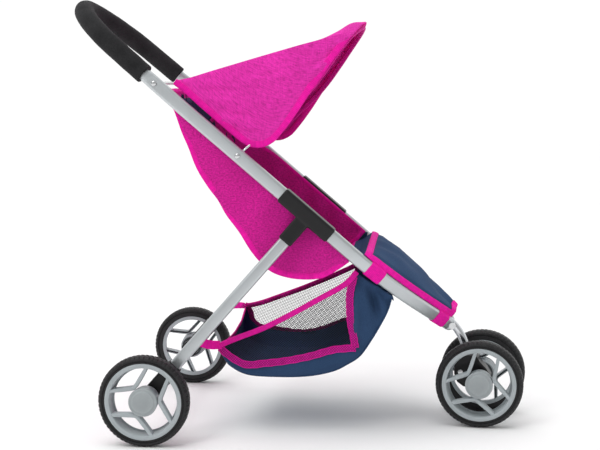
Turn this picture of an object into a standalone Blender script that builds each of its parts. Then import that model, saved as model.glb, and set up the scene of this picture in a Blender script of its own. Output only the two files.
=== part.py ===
"""Three-wheeled doll stroller with a foam-covered handle, fabric seat,
folding sun canopy, foot apron and net shopping basket.

Units are metres in the scene.  The constants are given in millimetres and are
scaled by MM.  +X points forward, +Y to the stroller's left, +Z up.  Z = 0 is
the ground, and the origin lies under the middle of the overall length.
"""
import math

import bmesh
import bpy
from mathutils import Matrix, Vector

MM = 0.001

# ---------------------------------------------------------------- dimensions
ORIGIN_X = 190.0            # from the rear axle forward to the part's origin

WHEEL_R = 60.0              # tyre radius, all four wheels
WHEEL_HALF_W = 10.0         # half the tyre width
RIM_R = 50.2                # rim bed radius
RIM_INNER_R = 44.8
HUB_R = 18.4
HUB_BACK = 13.0             # hub stands this far inboard of the wheel's middle
CAP_R = 19.0
CAP_FACE = 13.0             # cap face outboard of the wheel's middle
AXLE_R = 3.0
AXLE_BORE_R = 3.35
RIB_VERTEX_R = 20.4         # bend of the wheel's chevron ribs
RIB_SPREAD = math.radians(40.0)
RIB_W = 5.0

REAR_TRACK_HALF = 177.3     # wheel middle plane from the centre plane
FRONT_TRACK_HALF = 40.2     # twin caster wheels
KINGPIN_X = 424.0
CASTER_LEAD = 20.0          # front axle ahead of the kingpin, as it stands
CASTER_TURN = math.radians(-6.0)

FRAME_ANGLE = math.atan(0.8535)   # slope of the side tubes
FRAME_Z0 = 477.0                  # height of the tube plane above the rear axle
TUBE_H = 18.4               # flat oval side tube, tall way
TUBE_W = 11.0
TUBE_HALF = 120.5           # side tube centre line from the centre plane
TUBE_START = -28.0
TUBE_BEND = 350.0           # where the side tubes start to converge
TUBE_MEET = 523.0           # from here the two tubes run side by side
TUBE_END = 533.0
TUBE_NOSE_HALF = 12.3
HANDLE_R = 9.0
HANDLE_LEG = -60.0
HANDLE_LEG_HALF = 109.0
HANDLE_ARC = 90.0           # length of the handle's bow behind its legs
GRIP_R = 13.3
GRIP_BORE_R = 9.9
GRIP_END = -9.0

LEG_H = 16.0
LEG_W = 10.0
LEG_TOP = (208.6, 120.5, 299.0)
LEG_FOOT = (0.0, 152.0, 60.0)
LEG_SOCKET = 46.0
FOOT_SLEEVE = 55.0

RIVET_TOP_U = 8.5
PIVOT = (117.0, 377.0)      # canopy bow pivot, x and z
BOLT = (402.1, 136.4)       # nose bolt, x and z
PIPE_R = 6.0
BOW_R = 1.6
GAP = 0.3                   # space between touching pieces
CLOTH = 2.4                 # thickness of the fabric solids

# canopy: rear hem, lowest corner and front tip of a side panel, x and z
CANOPY_REAR = (22.0, 474.0)
CANOPY_LOW = (152.0, 388.0)
CANOPY_TIP = (285.0, 551.0)
CANOPY_HALF = 109.6

# seat bucket: side outline from the top of the back to the front edge, x and z
SEAT_LINE = [(30.0, 436.0), (40.0, 408.0), (49.0, 387.0), (59.5, 360.0),
             (74.0, 336.0), (88.0, 317.5), (99.0, 298.0), (116.5, 274.5),
             (134.0, 247.0), (155.5, 224.5), (179.5, 215.0), (205.0, 212.5),
             (227.0, 215.0), (245.0, 224.5), (262.0, 236.5)]
SEAT_HALF = 109.0

# basket: side outline from the rear top corner round to the front edge
BASKET_LINE = [(87.5, 116.0), (91.5, 102.0), (103.0, 89.5), (126.0, 79.0),
               (168.0, 77.0), (208.0, 79.0), (240.0, 86.0), (262.0, 96.5),
               (282.0, 110.0), (298.0, 131.0), (313.0, 156.0), (320.0, 184.0)]
BASKET_RIM = [(86.5, 121.0), (103.0, 131.5), (130.0, 145.5), (165.0, 163.5),
              (200.0, 181.0), (235.0, 199.0), (270.0, 216.0), (292.0, 207.0),
              (320.5, 188.5)]
BASKET_HALF = 104.0

# foot apron, measured along the tube plane
APRON_START = 362.0
APRON_END = 519.0


# ------------------------------------------------------------------- helpers
def clear_scene():
    for ob in list(bpy.data.objects):
        bpy.data.objects.remove(ob, do_unlink=True)
    for col in list(bpy.data.collections):
        bpy.data.collections.remove(col)
    for mesh in list(bpy.data.meshes):
        bpy.data.meshes.remove(mesh)


clear_scene()
PARTS = bpy.data.collections.new("doll_stroller")
CUTTERS = bpy.data.collections.new("stroller_cutters")
bpy.context.scene.collection.children.link(PARTS)
bpy.context.scene.collection.children.link(CUTTERS)


def pos(x, y, z):
    """A point given from the rear axle, in millimetres, as a scene vector."""
    return Vector(((x - ORIGIN_X) * MM, y * MM, z * MM))


def material(name, rgb, rough, metal=0.0):
    mat = bpy.data.materials.new(name)
    mat.use_nodes = True
    bsdf = mat.node_tree.nodes["Principled BSDF"]
    bsdf.inputs["Base Color"].default_value = (*rgb, 1.0)
    bsdf.inputs["Roughness"].default_value = rough
    bsdf.inputs["Metallic"].default_value = metal
    mat.diffuse_color = (*rgb, 1.0)
    return mat


FINISH = {
    "aluminium": ((0.70, 0.72, 0.73), 0.32, 1.0),
    "steel": ((0.74, 0.75, 0.77), 0.22, 1.0),
    "foam": ((0.035, 0.034, 0.036), 0.92, 0.0),
    "black_plastic": ((0.02, 0.02, 0.022), 0.45, 0.0),
    "rim_plastic": ((0.42, 0.46, 0.48), 0.42, 0.0),
    "tyre": ((0.025, 0.025, 0.027), 0.7, 0.0),
    "pink": ((0.80, 0.03, 0.40), 0.85, 0.0),
    "binding": ((0.85, 0.01, 0.42), 0.7, 0.0),
    "navy": ((0.035, 0.07, 0.16), 0.85, 0.0),
}


def finish(ob, kind, smooth=True):
    """Give the object its own material and soft shading on round faces."""
    rgb, rough, metal = FINISH[kind]
    ob.data.materials.clear()
    ob.data.materials.append(material(ob.name + "_mat", rgb, rough, metal))
    if smooth and ob.type == "MESH":
        ob.data.shade_smooth()
        ob.data.set_sharp_from_angle(angle=math.radians(35.0))
    return ob


def link(ob, collection=None):
    (collection or PARTS).objects.link(ob)
    return ob


def as_cutter(ob):
    for col in list(ob.users_collection):
        col.objects.unlink(ob)
    CUTTERS.objects.link(ob)
    ob.hide_render = True
    ob.display_type = "WIRE"
    return ob


def take(name):
    """The object that a primitive operator has just made, moved to PARTS."""
    ob = bpy.context.active_object
    ob.name = name
    ob.data.name = name
    for col in list(ob.users_collection):
        col.objects.unlink(ob)
    PARTS.objects.link(ob)
    return ob


def apply_transform(ob):
    ob.data.transform(ob.matrix_basis)
    ob.matrix_basis = Matrix.Identity(4)
    return ob


def cylinder(name, radius, a, b, sides=24):
    """A cylinder between two scene points."""
    axis = b - a
    bpy.ops.mesh.primitive_cylinder_add(vertices=sides, radius=radius,
                                        depth=axis.length)
    ob = take(name)
    turn = axis.to_track_quat("Z", "Y").to_matrix().to_4x4()
    ob.matrix_basis = Matrix.Translation((a + b) / 2) @ turn
    return apply_transform(ob)


def box(name, size, matrix, bevel=0.0, segments=2):
    """A box of the given size in millimetres, placed by a matrix."""
    bpy.ops.mesh.primitive_cube_add(size=1.0)
    ob = take(name)
    ob.scale = Vector(size) * MM
    apply_transform(ob)
    ob.matrix_basis = matrix
    apply_transform(ob)
    if bevel:
        mod = ob.modifiers.new("edges", "BEVEL")
        mod.width = bevel * MM
        mod.segments = segments
        mod.limit_method = "ANGLE"
    return ob


def evaluated(ob):
    """Replace an object by the mesh that its modifiers or curve give."""
    bpy.context.view_layer.update()
    dg = bpy.context.evaluated_depsgraph_get()
    mesh = bpy.data.meshes.new_from_object(ob.evaluated_get(dg), depsgraph=dg)
    bm = bmesh.new()
    bm.from_mesh(mesh)
    bmesh.ops.remove_doubles(bm, verts=bm.verts, dist=0.00001)
    bmesh.ops.recalc_face_normals(bm, faces=bm.faces)
    bm.to_mesh(mesh)
    bm.free()
    name, matrix = ob.name, ob.matrix_world.copy()
    cols = list(ob.users_collection)
    bpy.data.objects.remove(ob, do_unlink=True)
    new = bpy.data.objects.new(name, mesh)
    mesh.name = name
    for col in cols:
        col.objects.link(new)
    new.matrix_world = matrix
    return new


def boolean(ob, other, operation="DIFFERENCE"):
    mod = ob.modifiers.new(operation.lower(), "BOOLEAN")
    mod.operation = operation
    mod.object = other
    mod.solver = "EXACT"
    as_cutter(other)
    return ob


def oval(name, height, width):
    """A closed flat oval used as a sweep profile: straight flanks, round ends."""
    curve = bpy.data.curves.new(name, "CURVE")
    curve.dimensions = "2D"
    spline = curve.splines.new("POLY")
    r = min(width * 0.5, height * 0.5) * 0.72
    steps = 3
    pts = []
    for cx, cy, start in ((1, 1, 0), (-1, 1, 90), (-1, -1, 180), (1, -1, 270)):
        for i in range(steps):
            a = math.radians(start + 90.0 * i / (steps - 1))
            pts.append((cx * (width / 2 - r) + r * math.cos(a),
                        cy * (height / 2 - r) + r * math.sin(a)))
    spline.points.add(len(pts) - 1)
    for p, (x, y) in zip(spline.points, pts):
        p.co = (x * MM, y * MM, 0.0, 1.0)
    spline.use_cyclic_u = True
    ob = bpy.data.objects.new(name, curve)
    CUTTERS.objects.link(ob)
    ob.hide_render = True
    ob.display_type = "WIRE"
    return ob


def sweep(name, points, radius=None, profile=None, resolution=2, caps=True,
          matrix=None, twist="MINIMUM"):
    """A rail along points, round or with a profile, returned as a mesh."""
    curve = bpy.data.curves.new(name, "CURVE")
    curve.dimensions = "3D"
    curve.twist_mode = twist
    spline = curve.splines.new("POLY")
    spline.points.add(len(points) - 1)
    for p, co in zip(spline.points, points):
        p.co = (*co, 1.0)
    if profile is not None:
        curve.bevel_mode = "OBJECT"
        curve.bevel_object = profile
    else:
        curve.bevel_depth = radius * MM
        curve.bevel_resolution = resolution
    curve.use_fill_caps = caps
    ob = link(bpy.data.objects.new(name, curve))
    if matrix is not None:
        ob.matrix_world = matrix
    return evaluated(ob)


def through(points, count):
    """A smooth curve through control points, sampled at equal parameters."""
    pts = [Vector(p) for p in points]
    out = []
    last = len(pts) - 1
    for i in range(count):
        t = last * i / (count - 1)
        k = min(int(t), last - 1)
        f = t - k
        p0 = pts[k - 1] if k > 0 else pts[k] * 2 - pts[k + 1]
        p1, p2 = pts[k], pts[k + 1]
        p3 = pts[k + 2] if k + 2 <= last else pts[k + 1] * 2 - pts[k]
        out.append(0.5 * ((2 * p1) + (p2 - p0) * f
                          + (2 * p0 - 5 * p1 + 4 * p2 - p3) * f * f
                          + (3 * p1 - p0 - 3 * p2 + p3) * f ** 3))
    return out


def by_length(points, count):
    """Points spaced evenly along a line of points."""
    dist = [0.0]
    for a, b in zip(points, points[1:]):
        dist.append(dist[-1] + (Vector(b) - Vector(a)).length)
    out = []
    k = 0
    for i in range(count):
        d = dist[-1] * i / (count - 1)
        while k < len(points) - 2 and dist[k + 1] < d:
            k += 1
        f = (d - dist[k]) / (dist[k + 1] - dist[k])
        out.append(Vector(points[k]).lerp(Vector(points[k + 1]), f))
    return out


def sheet(name, cols, rows, place, thickness=CLOTH, offset=0.0):
    """A bent sheet: a grid whose points are placed by place(s, t), with
    thickness from Solidify."""
    bm = bmesh.new()
    bmesh.ops.create_grid(bm, x_segments=cols, y_segments=rows, size=0.5)
    for v in bm.verts:
        v.co = place(v.co.x + 0.5, v.co.y + 0.5)
    mesh = bpy.data.meshes.new(name)
    bm.to_mesh(mesh)
    bm.free()
    ob = link(bpy.data.objects.new(name, mesh))
    mod = ob.modifiers.new("cloth", "SOLIDIFY")
    mod.thickness = thickness * MM
    mod.offset = offset
    return ob


def turned(name, profile, steps, matrix=None):
    """A closed profile of (radius, y) points turned about the Y axis."""
    bm = bmesh.new()
    verts = [bm.verts.new((r * MM, 0.0, y * MM)) for r, y in profile]
    for a, b in zip(verts, verts[1:] + verts[:1]):
        bm.edges.new((a, b))
    mesh = bpy.data.meshes.new(name)
    bm.to_mesh(mesh)
    bm.free()
    ob = link(bpy.data.objects.new(name, mesh))
    mod = ob.modifiers.new("turn", "SCREW")
    mod.axis = "Z"
    mod.steps = steps
    mod.render_steps = steps
    mod.use_merge_vertices = True
    mod.merge_threshold = 0.00001
    ob = evaluated(ob)
    # the screw's Z axis becomes the axle direction +Y, with a flat facet down
    ob.data.transform(Matrix.Rotation(math.radians(-90.0), 4, "X")
                      @ Matrix.Rotation(math.pi / steps, 4, "Z"))
    return ob


# -------------------------------------------------- the sloping tube plane
PLANE = (Matrix.Translation(pos(0, 0, FRAME_Z0))
         @ Matrix.Rotation(FRAME_ANGLE, 4, "Y"))


def plane_point(u, v, h):
    """u runs down the tubes, v to the left, h up off the tube plane."""
    return PLANE @ Vector((u * MM, v * MM, h * MM))


def plane_coords(x, z):
    """The u and h of a point of the side view."""
    c, s = math.cos(FRAME_ANGLE), math.sin(FRAME_ANGLE)
    return x * c - (z - FRAME_Z0) * s, x * s + (z - FRAME_Z0) * c


def tube_half(u):
    """Distance of a side tube's centre line from the centre plane."""
    if u < 60.0:
        f = (60.0 - u) / (60.0 - HANDLE_LEG)
        return TUBE_HALF - (TUBE_HALF - HANDLE_LEG_HALF) * f ** 1.5
    if u > TUBE_BEND:
        f = min(1.0, (u - TUBE_BEND) / (TUBE_MEET - TUBE_BEND))
        return (TUBE_NOSE_HALF
                + (TUBE_HALF - TUBE_NOSE_HALF) * (1.0 - f * f) ** 1.2)
    return TUBE_HALF


def handle_points(start, count_leg, count_arc):
    """The handle's U in the tube plane, from the right leg to the left."""
    leg = [(u, -tube_half(u)) for u in
           [start + (HANDLE_LEG - start) * i / count_leg
            for i in range(count_leg)]]
    arc = []
    for i in range(count_arc + 1):
        a = math.pi * (i / count_arc - 0.5)
        # a slightly pointed bow
        arc.append((HANDLE_LEG - HANDLE_ARC * math.cos(a) ** 1.14,
                    HANDLE_LEG_HALF * math.copysign(abs(math.sin(a)) ** 1.14, a)))
    pts = leg + arc + [(u, -v) for u, v in reversed(leg)]
    return [Vector((u * MM, v * MM, 0.0)) for u, v in pts]


SIDES = (("right", -1.0), ("left", 1.0))
Y_AXIS = Vector((0.0, 1.0, 0.0))


# ------------------------------------------------------------ frame: tubes
def build_tubes():
    profile = oval("side_tube_profile", TUBE_H, TUBE_W)
    for side, sg in SIDES:
        us = [TUBE_START, 0.0, 30.0, 60.0, 200.0, TUBE_BEND]
        us += [TUBE_BEND + (TUBE_MEET - TUBE_BEND) * i / 12 for i in range(1, 13)]
        us.append(TUBE_END)
        pts = [Vector((u * MM, sg * tube_half(u) * MM, 0.0)) for u in us]
        ob = sweep("frame_tube_" + side, pts, profile=profile, matrix=PLANE,
                   twist="Z_UP")
        # holes for the two rivets and the nose bolt
        top = plane_point(RIVET_TOP_U, 0, 0)
        for k, (x, z, r) in enumerate(((top.x / MM + ORIGIN_X, top.z / MM, 2.1),
                                       (*PIVOT, 2.1), (*BOLT, 2.4))):
            a = pos(x, sg * 4.0, z)
            b = pos(x, sg * 140.0, z)
            boolean(ob, cylinder("hole_%s_%d" % (side, k), r * MM, a, b, 12))
        finish(ob, "aluminium")


def build_handle():
    pts = handle_points(TUBE_START - 1.0, 2, 18)
    finish(sweep("handle_tube", pts, radius=HANDLE_R, resolution=2,
                 matrix=PLANE), "aluminium")
    pts = handle_points(GRIP_END, 3, 20)
    grip = sweep("handle_grip", pts, radius=GRIP_BORE_R, resolution=3,
                 caps=False, matrix=PLANE)
    mod = grip.modifiers.new("foam", "SOLIDIFY")
    mod.thickness = (GRIP_R - GRIP_BORE_R) * MM
    mod.offset = 1.0
    finish(grip, "foam")


# --------------------------------------------- connectors, legs and feet
def leg_matrix(sg):
    """x runs down the leg from the connector, z is the leg's wide way."""
    top = pos(LEG_TOP[0], sg * LEG_TOP[1], LEG_TOP[2])
    foot = pos(LEG_FOOT[0], sg * LEG_FOOT[1], LEG_FOOT[2])
    ex = (foot - top).normalized()
    ey = (Y_AXIS - ex * Y_AXIS.dot(ex)).normalized()
    ez = ex.cross(ey)
    rot = Matrix((ex, ey, ez)).transposed().to_4x4()
    return Matrix.Translation(top) @ rot, (foot - top).length / MM


def straight(name, profile, matrix, start, end):
    pts = [Vector((start * MM, 0, 0)), Vector((end * MM, 0, 0))]
    return sweep(name, pts, profile=profile, matrix=matrix, twist="Z_UP")


def build_legs():
    leg_profile = oval("leg_profile", LEG_H, LEG_W)
    socket_profile = oval("leg_socket_profile", LEG_H + 2 * GAP, LEG_W + 2 * GAP)
    channel_profile = oval("tube_channel_profile", TUBE_H + 2 * GAP,
                           TUBE_W + 2 * GAP)
    for side, sg in SIDES:
        mat, length = leg_matrix(sg)
        # connector: a sleeve on the side tube with a socket for the leg
        mid = PLANE @ Matrix.Translation(Vector((273.0 * MM, sg * 121.0 * MM,
                                                 0.0)))
        body = box("connector_" + side, (84.0, 20.0, 21.2), mid, 2.6, 2)
        sleeve = box("connector_sleeve_" + side, (LEG_SOCKET, 17.0, 20.4),
                     mat @ Matrix.Translation(Vector((LEG_SOCKET / 2 * MM, 0, 0))),
                     2.2, 2)
        boolean(body, sleeve, "UNION")
        boolean(body, straight("connector_channel_" + side, channel_profile,
                               PLANE @ Matrix.Translation(Vector((
                                   0, sg * TUBE_HALF * MM, 0))), 225.0, 321.0))
        boolean(body, straight("connector_socket_" + side, socket_profile, mat,
                               13.0, LEG_SOCKET + 4.0))
        finish(body, "black_plastic")

        leg = straight("rear_leg_" + side, leg_profile, mat, 13.5,
                       length - 21.0)
        finish(leg, "aluminium")

        # foot: a sleeve under the leg and the boss that holds the axle
        start = length - FOOT_SLEEVE
        foot = box("axle_foot_" + side, (FOOT_SLEEVE - 4.0, 15.0, 21.0),
                   mat @ Matrix.Translation(Vector((
                       (start + (FOOT_SLEEVE - 4.0) / 2) * MM, 0, 0))), 2.4, 2)
        y0, y1 = REAR_TRACK_HALF - HUB_BACK - 0.6, 141.0
        boolean(foot, cylinder("foot_boss_" + side, 12.5 * MM,
                               pos(0, sg * y1, WHEEL_R),
                               pos(0, sg * y0, WHEEL_R), 28), "UNION")
        boolean(foot, straight("foot_socket_" + side, socket_profile, mat,
                               start - 4.0, length - 20.5))
        boolean(foot, cylinder("foot_bore_" + side, AXLE_BORE_R * MM,
                               pos(0, sg * 120.0, WHEEL_R),
                               pos(0, sg * 180.0, WHEEL_R), 16))
        finish(foot, "black_plastic")

    axle = cylinder("rear_axle", AXLE_R * MM,
                    pos(0, -REAR_TRACK_HALF - 8.4, WHEEL_R),
                    pos(0, REAR_TRACK_HALF + 8.4, WHEEL_R), 16)
    finish(axle, "steel")


# ------------------------------------------------------------------- wheels
def rib_points(centre):
    """One chevron rib: rim, bend by the hub, rim, in the wheel's plane."""
    ends = []
    for s in (-1.0, 1.0):
        a = centre + s * RIB_SPREAD
        ends.append(Vector(((RIM_INNER_R + 1.6) * math.cos(a),
                            (RIM_INNER_R + 1.6) * math.sin(a))))
    mid = Vector((math.cos(centre), math.sin(centre))) * RIB_VERTEX_R
    lead = [mid.lerp(e, 0.26) for e in ends]
    knee = [mid * 1.035 + (l - mid) * 0.45 for l in lead]
    return [ends[0], lead[0], knee[0], mid * 1.02, knee[1], lead[1], ends[1]]


def rim_mesh():
    """Rim bed, three chevron ribs and the hub as one moulding."""
    w = WHEEL_HALF_W - 0.4
    rim = turned("rim_blank", [(RIM_R, w), (RIM_R, -w), (RIM_INNER_R + 1.4, -w),
                               (RIM_INNER_R, -w + 3.0), (RIM_INNER_R, w - 3.0),
                               (RIM_INNER_R - 0.6, w)], 32)
    hub = cylinder("hub_blank", HUB_R * MM, Vector((0, -HUB_BACK * MM, 0)),
                   Vector((0, 8.6 * MM, 0)), 24)
    boolean(rim, hub, "UNION")
    for k in range(3):
        centre = math.radians(120.0 * k)
        line = rib_points(centre)
        left, right = [], []
        for i, p in enumerate(line):
            a = line[max(i - 1, 0)]
            b = line[min(i + 1, len(line) - 1)]
            t = (b - a).normalized()
            n = Vector((-t.y, t.x)) * RIB_W / 2
            left.append(p + n)
            right.append(p - n)
        outline = left + right[::-1]
        curve = bpy.data.curves.new("rib_%d" % k, "CURVE")
        curve.dimensions = "2D"
        curve.fill_mode = "BOTH"
        curve.extrude = 5.5 * MM
        spline = curve.splines.new("POLY")
        spline.points.add(len(outline) - 1)
        for p, co in zip(spline.points, outline):
            p.co = (co.x * MM, co.y * MM, 0.0, 1.0)
        spline.use_cyclic_u = True
        rib = link(bpy.data.objects.new("rib_%d" % k, curve))
        # the wheel's plane is XZ, so the curve's plane is stood upright
        rib.matrix_world = (Matrix.Translation(Vector((0, 2.6 * MM, 0)))
                            @ Matrix.Rotation(math.radians(90.0), 4, "X"))
        boolean(rim, evaluated(rib), "UNION")
    boolean(rim, cylinder("hub_bore", AXLE_BORE_R * MM,
                          Vector((0, -30 * MM, 0)), Vector((0, 30 * MM, 0)), 16))
    rim = evaluated(rim)
    mesh = rim.data
    mesh.name = "wheel_rim"
    bpy.data.objects.remove(rim, do_unlink=True)
    return mesh


def tyre_mesh():
    w = WHEEL_HALF_W
    r = WHEEL_R / math.cos(math.pi / 32)
    tyre = turned("tyre_blank", [(r, 6.4), (r, -6.4), (r - 2.2, -w),
                                 (RIM_R + 1.2, -w), (RIM_R + 0.35, -w + 0.8),
                                 (RIM_R + 0.35, w - 0.8), (RIM_R + 1.2, w),
                                 (r - 2.2, w)], 32)
    mesh = tyre.data
    mesh.name = "wheel_tyre"
    bpy.data.objects.remove(tyre, do_unlink=True)
    return mesh


def cap_mesh():
    """Domed hub cap, hollow behind so the axle's end has room."""
    bm = bmesh.new()
    prof = [(0.0, CAP_FACE), (14.6, CAP_FACE - 0.1), (15.8, CAP_FACE - 0.9),
            (17.6, CAP_FACE - 1.3), (CAP_R, CAP_FACE - 2.6), (CAP_R, 8.9),
            (6.0, 8.9), (6.0, 10.6), (0.0, 10.6)]
    verts = [bm.verts.new((r * MM, 0.0, y * MM)) for r, y in prof]
    for a, b in zip(verts, verts[1:]):
        bm.edges.new((a, b))
    mesh = bpy.data.meshes.new("cap_blank")
    bm.to_mesh(mesh)
    bm.free()
    ob = link(bpy.data.objects.new("cap_blank", mesh))
    mod = ob.modifiers.new("turn", "SCREW")
    mod.axis = "Z"
    mod.steps = 20
    mod.render_steps = 20
    mod.use_merge_vertices = True
    mod.merge_threshold = 0.00001
    ob = evaluated(ob)
    ob.data.transform(Matrix.Rotation(math.radians(-90.0), 4, "X"))
    mesh = ob.data
    mesh.name = "wheel_cap"
    bpy.data.objects.remove(ob, do_unlink=True)
    return mesh


def build_wheels():
    rim, tyre, cap = rim_mesh(), tyre_mesh(), cap_mesh()
    places = []
    for side, sg in SIDES:
        places.append(("rear_" + side, pos(0, sg * REAR_TRACK_HALF, WHEEL_R),
                       sg, 0.0, {"right": 3.6, "left": -9.0}[side]))
    turn = Matrix.Rotation(CASTER_TURN, 4, "Z")
    pin = pos(KINGPIN_X, 0, WHEEL_R)
    for side, sg in SIDES:
        off = turn @ Vector((CASTER_LEAD * MM, sg * FRONT_TRACK_HALF * MM, 0))
        places.append(("front_" + side, pin + off, sg, CASTER_TURN,
                       {"right": 16.4, "left": -25.0}[side]))
    for name, centre, sg, yaw, spin in places:
        axis = bpy.data.objects.new(name + "_wheel_axis", None)
        PARTS.objects.link(axis)
        axis.empty_display_size = 0.02
        axis.location = centre
        # the outer face looks away from the stroller's middle
        axis.rotation_euler = (0, 0, yaw + (math.pi if sg < 0 else 0.0))
        # ribs are turned about the axle; the tyre keeps its flat facet down
        roll = -math.radians(spin) if sg > 0 else -math.radians(180.0 - spin)
        for mesh, suffix, kind, angle in ((rim, "_rim", "rim_plastic", roll),
                                          (tyre, "_tyre", "tyre", 0.0),
                                          (cap, "_hub_cap", "rim_plastic", 0.0)):
            data = mesh.copy()
            data.name = name + suffix
            ob = link(bpy.data.objects.new(name + suffix, data))
            ob.parent = axis
            ob.rotation_euler = (0, angle, 0)
            finish(ob, kind)
    for mesh in (rim, tyre, cap):
        bpy.data.meshes.remove(mesh)


# ------------------------------------------------------------ nose and caster
def build_nose():
    line = [(386.0, 150.6), (394.0, 143.6), (402.1, 136.4), (409.2, 128.6),
            (415.4, 119.0), (420.4, 108.0), (423.3, 96.5), (424.0, 86.0),
            (424.0, 66.0)]
    smooth = through([(x, 0.0, z) for x, z in line], 17)
    pts = [pos(p.x, p.y, p.z) for p in smooth]
    pipe = sweep("caster_pipe", pts, radius=PIPE_R, resolution=2)
    boolean(pipe, cylinder("pipe_hole", 2.4 * MM, pos(BOLT[0], -30, BOLT[1]),
                           pos(BOLT[0], 30, BOLT[1]), 12))
    finish(pipe, "steel")

    reach = TUBE_NOSE_HALF + TUBE_W / 2 + 2.0
    bolt = cylinder("nose_bolt", 2.0 * MM, pos(BOLT[0], -reach - 1.0, BOLT[1]),
                    pos(BOLT[0], reach + 6.0, BOLT[1]), 12)
    boolean(bolt, cylinder("nose_bolt_head", 4.6 * MM,
                           pos(BOLT[0], -reach - 3.2, BOLT[1]),
                           pos(BOLT[0], -reach, BOLT[1]), 16), "UNION")
    finish(bolt, "steel")
    nut = cylinder("nose_nut", 4.6 * MM, pos(BOLT[0], reach, BOLT[1]),
                   pos(BOLT[0], reach + 4.0, BOLT[1]), 6)
    boolean(nut, cylinder("nose_nut_bore", 2.3 * MM,
                          pos(BOLT[0], reach - 5.0, BOLT[1]),
                          pos(BOLT[0], reach + 10.0, BOLT[1]), 12))
    finish(nut, "steel", smooth=False)

    # caster housing, drawn straight and then turned about the kingpin
    turn = (Matrix.Translation(pos(KINGPIN_X, 0, 0))
            @ Matrix.Rotation(CASTER_TURN, 4, "Z"))

    def at(x, y, z):
        return turn @ Vector((x * MM, y * MM, z * MM))

    outline = [(-16.5, 90.0), (-17.5, 82.0), (-17.0, 66.0), (-13.0, 55.0),
               (-4.0, 48.5), (12.0, 46.0), (26.0, 48.0), (33.0, 55.0),
               (34.0, 64.0), (28.0, 75.0), (19.0, 84.0), (15.0, 91.0),
               (9.0, 94.0), (-11.0, 94.0)]
    curve = bpy.data.curves.new("caster_housing", "CURVE")
    curve.dimensions = "2D"
    curve.fill_mode = "BOTH"
    curve.extrude = 15.0 * MM
    spline = curve.splines.new("POLY")
    spline.points.add(len(outline) - 1)
    for p, (x, z) in zip(spline.points, outline):
        p.co = (x * MM, z * MM, 0.0, 1.0)
    spline.use_cyclic_u = True
    housing = link(bpy.data.objects.new("caster_housing", curve))
    housing.matrix_world = turn @ Matrix.Rotation(math.radians(90.0), 4, "X")
    housing = evaluated(housing)
    mod = housing.modifiers.new("edges", "BEVEL")
    mod.width = 2.0 * MM
    mod.segments = 1
    mod.limit_method = "ANGLE"
    mod.angle_limit = math.radians(50.0)
    reach = FRONT_TRACK_HALF - HUB_BACK - 0.6
    boolean(housing, cylinder("caster_boss", 11.5 * MM,
                              at(CASTER_LEAD, -reach, WHEEL_R),
                              at(CASTER_LEAD, reach, WHEEL_R), 28), "UNION")
    boolean(housing, cylinder("kingpin_socket", (PIPE_R + 0.5) * MM,
                              at(0, 0, 64.0), at(0, 0, 110.0), 20))
    boolean(housing, cylinder("caster_bore", AXLE_BORE_R * MM,
                              at(CASTER_LEAD, -60, WHEEL_R),
                              at(CASTER_LEAD, 60, WHEEL_R), 16))
    for k, (x, z) in enumerate(((-8.0, 70.0),)):
        boolean(housing, cylinder("housing_rivet_hole_%d" % k, 2.3 * MM,
                                  at(x, -30, z), at(x, 30, z), 12))
    finish(housing, "black_plastic")

    pin = cylinder("housing_rivet", 2.0 * MM, at(-8.0, -15.6, 70.0),
                   at(-8.0, 15.6, 70.0), 12)
    for k, s in enumerate((-1.0, 1.0)):
        boolean(pin, cylinder("housing_rivet_head_%d" % k, 3.4 * MM,
                              at(-8.0, s * 15.4, 70.0),
                              at(-8.0, s * 17.2, 70.0), 14), "UNION")
    finish(pin, "steel")

    axle = cylinder("front_axle", AXLE_R * MM,
                    at(CASTER_LEAD, -FRONT_TRACK_HALF - 8.4, WHEEL_R),
                    at(CASTER_LEAD, FRONT_TRACK_HALF + 8.4, WHEEL_R), 16)
    finish(axle, "steel")


# ---------------------------------------------------- rivets, rod, canopy bow
def build_rivets():
    top = plane_point(RIVET_TOP_U, 0, 0)
    x0, z0 = top.x / MM + ORIGIN_X, top.z / MM
    half_top = tube_half(RIVET_TOP_U)
    for side, sg in SIDES:
        outer = half_top + TUBE_W / 2 + GAP
        rivet = cylinder("handle_rivet_" + side, 1.8 * MM,
                         pos(x0, sg * (half_top - 5.6), z0),
                         pos(x0, sg * (outer + 0.8), z0), 12)
        head = cylinder("handle_rivet_head_" + side, 3.2 * MM,
                        pos(x0, sg * outer, z0),
                        pos(x0, sg * (outer + 1.6), z0), 14)
        boolean(rivet, head, "UNION")
        finish(rivet, "steel")

        outer = TUBE_HALF + TUBE_W / 2 + GAP
        x1, z1 = PIVOT
        rivet = cylinder("canopy_rivet_" + side, 1.8 * MM,
                         pos(x1, sg * 110.6, z1),
                         pos(x1, sg * (outer + 0.8), z1), 12)
        boolean(rivet, cylinder("canopy_rivet_head_" + side, 3.2 * MM,
                                pos(x1, sg * outer, z1),
                                pos(x1, sg * (outer + 1.6), z1), 14), "UNION")
        boolean(rivet, cylinder("canopy_rivet_foot_" + side, 3.0 * MM,
                                pos(x1, sg * 111.6, z1),
                                pos(x1, sg * 110.2, z1), 14), "UNION")
        finish(rivet, "steel")

    rod = half_top - TUBE_W / 2 - 0.6
    finish(cylinder("handle_cross_rod", 2.4 * MM, pos(x0, -rod, z0),
                    pos(x0, rod, z0), 14), "steel")


def bow_line():
    """Half of the canopy bow, from its pivot eye to the middle of the top."""
    x0, z0 = PIVOT
    return [(x0 + 2.2, -112.9, z0 + 2.6), (x0 + 10.0, -110.4, z0 + 10.5),
            (140.0, -104.8, 398.0), (173.0, -103.4, 425.0),
            (206.0, -101.6, 459.5), (240.0, -99.6, 500.0),
            (265.0, -97.0, 529.5), (275.5, -89.0, 541.5), (279.4, -76.0, 545.6),
            (280.6, -40.0, 547.2), (280.8, 0.0, 547.8)]


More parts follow.
